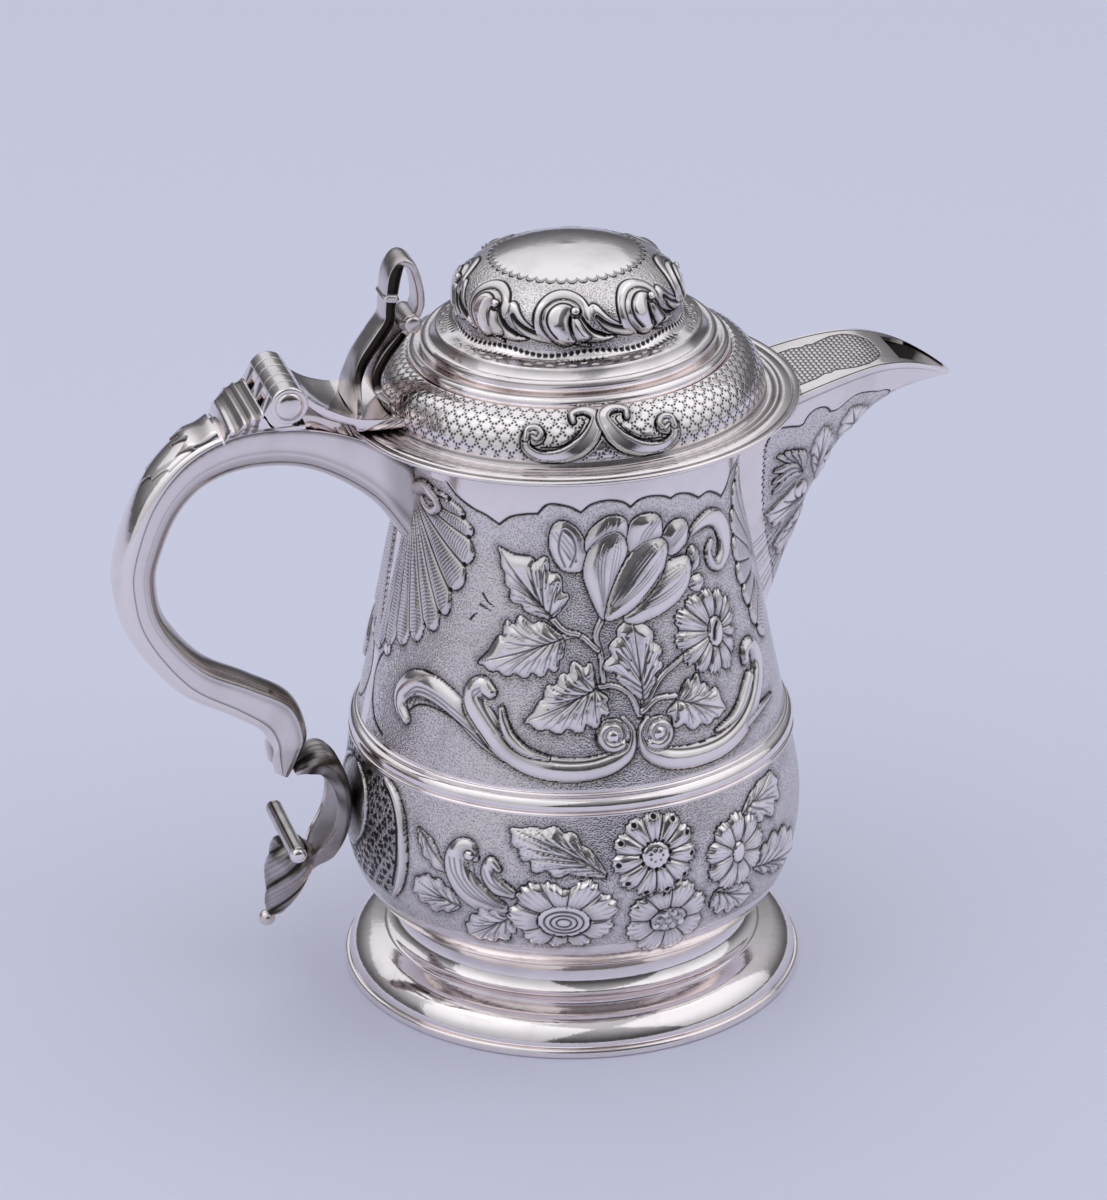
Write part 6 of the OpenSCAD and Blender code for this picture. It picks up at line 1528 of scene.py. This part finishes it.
def make_strap():
    """The plate from the hinge to the lid, dished on top."""
    x = np.linspace(-69.0, -44.5, 70)
    top = spline([(-69.4, 164.2), (-67.2, 163.2), (-65, 161.6), (-62.5, 160.2), (-58, 158.3), (-54, 157.6),
                  (-48, 157.3), (-43, 157.2)], 300)
    low = spline([(-69.6, 161.2), (-68, 160.2), (-64.4, 157.2), (-61.6, 155.8), (-57, 154.6), (-56, 152.6),
                  (-52, 152.5), (-43, 152.7)], 300)
    high_z, low_z = np.interp(x, top[:, 0], top[:, 1]), np.interp(x, low[:, 0], low[:, 1])
    edge = bezier([(-70.6, 10), (-61.6, 10), (-58, 14), (-45.7, 14.5)], np.linspace(0, 1, 80))
    half = np.interp(x, edge[:, 0], edge[:, 1])
    q = np.sin(np.linspace(-90, 90, 25) * math.pi / 180)
    thick = (high_z - low_z)[:, None]
    up = high_z[:, None] - 0.9 * (1 - q * q) - 0.2 * np.minimum(0.5, thick * 0.3) * np.abs(q) ** 12
    edge_z = high_z[:, None] - np.minimum(1.1, thick)
    down = edge_z - (edge_z - low_z[:, None]) * arc(q**4)
    y = half[:, None] * q
    upper, lower = (np.stack([0 * y + x[:, None], y, z], -1) for z in (up, down))
    points, faces = sweep(np.concatenate([upper, lower[:, ::-1]], 1)[:, ::-1])
    piece("lid_strap_sweep", lean(points), faces, "lid", "silver_plain", POLISHED, ["lid_strap"], sharp=45)


# Thumbpiece
THUMB_X, THUMB_W, THUMB_T = -BAND_R, 12.0, 2.2
# X and Z from the band's foot, half depth, share of the width
LOOP_ROWS = [(-7.3, 4.9, 1.3, 0.8), (-7.0, 8.4, 1.1, 0.72), (-6.4, 11.8, 1.2, 0.5), (-4.6, 16, 1.5, 0.4),
             (-1.0, 21, 1.6, 0.39), (2.1, 25.4, 1.5, 0.38), (2.6, 28.8, 1.45, 0.38), (3.0, 31.4, 1.6, 0.38),
             (4.1, 37, 1.75, 0.38), (6.0, 40.2, 1.1, 0.4), (8.4, 39, 1, 0.42), (9.9, 34, 1, 0.4),
             (10.2, 29.2, 1, 0.38), (9.2, 26.2, 0.9, 0.38)]
FOOT_ROWS = [(6.4, 23.4, 0.9, 0.44), (4.2, 20.8, 1.2, 0.44), (0.9, 16.8, 1.35, 0.44), (-1.5, 12.2, 1.35, 0.45),
             (-1.3, 8.4, 1.2, 0.5), (1.0, 5.8, 0.9, 0.55)]


def make_thumbpiece():
    """A hollow strip bent in a loop, open along both sides, with a second strip in front of its lower half."""
    place = lambda rows: [(THUMB_X + x, FLANGE_TOP + z, d * THUMB_T / 2, w * THUMB_W) for x, z, d, w in rows]
    collar = lambda t, c, s: 0.55 * np.sign(c) * bell(t - 0.535, 0.01)
    gap = lambda t, a, b, c, d: smoothstep(t, a, b) * (1 - smoothstep(t, c, d))
    rear_open = lambda t: np.maximum(gap(t, 0.13, 0.2, 0.51, 0.522), gap(t, 0.55, 0.562, 0.64, 0.7))
    front_open = lambda t: gap(t, 0.06, 0.14, 0.72, 0.8)
    inner = lambda c: 1 - smoothstep(np.abs(c), 0.55, 0.72)

    def strip(rows, rings, opening, carve=None):
        sides = 96
        t = np.linspace(0, 1, rings)[:, None]
        a = circle(sides)
        flat = lambda q: np.sign(q) * np.abs(q) ** 0.5
        c, w = flat(np.cos(a))[None, :], flat(np.sin(a))[None, :]
        hollow = lambda t, c, s: 1.6 * inner(c) * smoothstep(np.abs(s), 0.5, 0.8) * opening(t)
        # painted shade inside the open channels, a darker band across each strip, and faint tarnish all over
        stain = 0.62 * inner(c) * smoothstep(np.abs(w), 0.5, 0.7) * opening(t) + 0.3 * bell(t - 0.15, 0.08) + 0.08
        return sweep(ribbon(place(rows), rings, sides, 0.5, carve, hollow)[:, ::-1]), stain[:, ::-1].ravel()

    loop, loop_shade = strip(LOOP_ROWS, 240, rear_open, collar)
    foot, front_strip_shade = strip(FOOT_ROWS, 110, front_open)
    r, z = 2.2, FLANGE_TOP + 24.6
    half = [(r - 0.7, -6), (r - 0.15, -5.7), (r, -5.2), (r, -4.4), (r - 0.25, -4.2), (r, -4)]
    roll = turned(half + [(a, -b) for a, b in half[::-1]], (THUMB_X + 7.8, 0, z))
    small = turned([(0.7, -5.6), (1.0, -5.3), (1.1, 0), (1.0, 5.3), (0.7, 5.6)], (THUMB_X + 5.2, 0, z))
    points, faces = joined(loop, foot, roll, small)
    # the small rod between the strips is darkened with painted shade; the roll stays bright
    patina = np.concatenate([loop_shade, front_strip_shade, np.full(len(roll[0]), 0.05), np.full(len(small[0]), 0.4)])
    piece("thumbpiece_cast", lean(points), faces, "lid", "silver_cast", CAST, ["thumbpiece"], patina=patina,
          sharp=45)


make_lower_scroll()
make_tail()
make_hinge_bed()
make_hinge_leaf()
make_hinge()
make_strap()
make_thumbpiece()


# Camera, floor and light
# Light: name, place and size in metres, watts
SOFTBOXES = [("softbox_left", (-1.45, -0.85, 1.25), 2.9, 13.5), ("softbox_right", (1.45, -0.55, 1.2), 2.5, 9.5),
             ("softbox_top", (-0.2, 0.9, 1.8), 3.0, 10.5)]
LAMP_AIM, LAMP_COLOUR = Vector((0, 0, 0.09)), (0.92, 0.95, 1.0)
ROOM_LOW, ROOM_HIGH, ROOM_COLOUR = 0.11, 0.61, (0.92, 0.94, 1.0, 1)
FRONT_SHARE = 0.52  # how bright the room is beyond the camera, next to its sides
FLOOR_COLOUR, FLOOR_ROUGH, FLOOR_HALF = (0.75, 0.755, 0.9, 1), 0.6, 9.0


def place_camera():
    """The photograph's camera, turned round the object."""
    turn = Matrix.Rotation(-OBJECT_TURN, 3, "Z")
    ahead = turn @ Vector((math.sin(CAMERA_YAW) * math.cos(CAMERA_PITCH),
                           math.cos(CAMERA_YAW) * math.cos(CAMERA_PITCH),
                           -math.sin(CAMERA_PITCH)))
    level = turn @ Vector((math.cos(CAMERA_YAW), -math.sin(CAMERA_YAW), 0))
    down = ahead.cross(level)
    right = math.cos(CAMERA_ROLL) * level + math.sin(CAMERA_ROLL) * down
    up = math.sin(CAMERA_ROLL) * level - math.cos(CAMERA_ROLL) * down
    spot = turn @ Vector((0, -CAMERA_DISTANCE * MM, CAMERA_HEIGHT * MM))
    data = bpy.data.cameras.new("camera")
    data.lens = CAMERA_LENS
    data.sensor_width = 36
    data.clip_end = 20
    camera = bpy.data.objects.new("camera", data)
    camera.matrix_world = Matrix([(right[i], up[i], -ahead[i], spot[i]) for i in range(3)] + [(0, 0, 0, 1)])
    bpy.context.scene.collection.objects.link(camera)
    bpy.context.scene.camera = camera


def make_floor():
    """Pale paper under and behind the object."""
    mesh = bpy.data.meshes.new("floor")
    corners = [(FLOOR_HALF * x, FLOOR_HALF * y, 0) for x, y in ((-1, -1), (1, -1), (1, 1), (-1, 1))]
    mesh.from_pydata(corners, [], [(0, 1, 2, 3)])
    floor = bpy.data.objects.new("floor", mesh)
    bpy.context.scene.collection.objects.link(floor)
    material = bpy.data.materials.new("floor_paper")
    material.use_nodes = True
    shader = material.node_tree.nodes["Principled BSDF"]
    shader.inputs["Base Color"].default_value = FLOOR_COLOUR
    shader.inputs["Roughness"].default_value = FLOOR_ROUGH
    mesh.materials.append(material)


def make_light():
    """A dim room, darkest beyond the camera, and three large soft boxes: left, right and overhead."""
    world = bpy.data.worlds.new("studio")
    bpy.context.scene.world = world
    world.use_nodes = True
    tree = world.node_tree
    add = node_maker(tree)
    around = add("TexCoord", "Generated")
    up = add("SeparateXYZ", "Z", {"Vector": around})
    height = add("MapRange", "Result", {"Value": up, "From Min": 0.05, "From Max": 0.75, "To Min": ROOM_LOW,
                                        "To Max": ROOM_HIGH}, interpolation_type="SMOOTHSTEP")
    viewer = (-math.sin(OBJECT_TURN), -math.cos(OBJECT_TURN), 0)
    front = add("VectorMath", "Value", {0: around, 1: viewer}, operation="DOT_PRODUCT")
    gloom = add("MapRange", "Result", {"Value": front, "From Min": 0.35, "From Max": 0.85, "To Min": 1.0,
                                       "To Max": FRONT_SHARE}, interpolation_type="SMOOTHSTEP")
    level = add("Math", "Value", {0: height, 1: gloom}, operation="MULTIPLY")
    back = tree.nodes["Background"]
    feed(tree, back.inputs["Strength"], level)
    feed(tree, back.inputs["Color"], ROOM_COLOUR)
    for name, spot, size, power in SOFTBOXES:
        lamp = bpy.data.lights.new(name, "AREA")
        lamp.size = size
        lamp.energy = power
        lamp.color = LAMP_COLOUR
        obj = bpy.data.objects.new(name, lamp)
        obj.location = spot
        obj.rotation_euler = (LAMP_AIM - Vector(spot)).to_track_quat("-Z", "Y").to_euler()
        bpy.context.scene.collection.objects.link(obj)


place_camera()
make_floor()
make_light()
bpy.context.scene.view_settings.view_transform = "Standard"
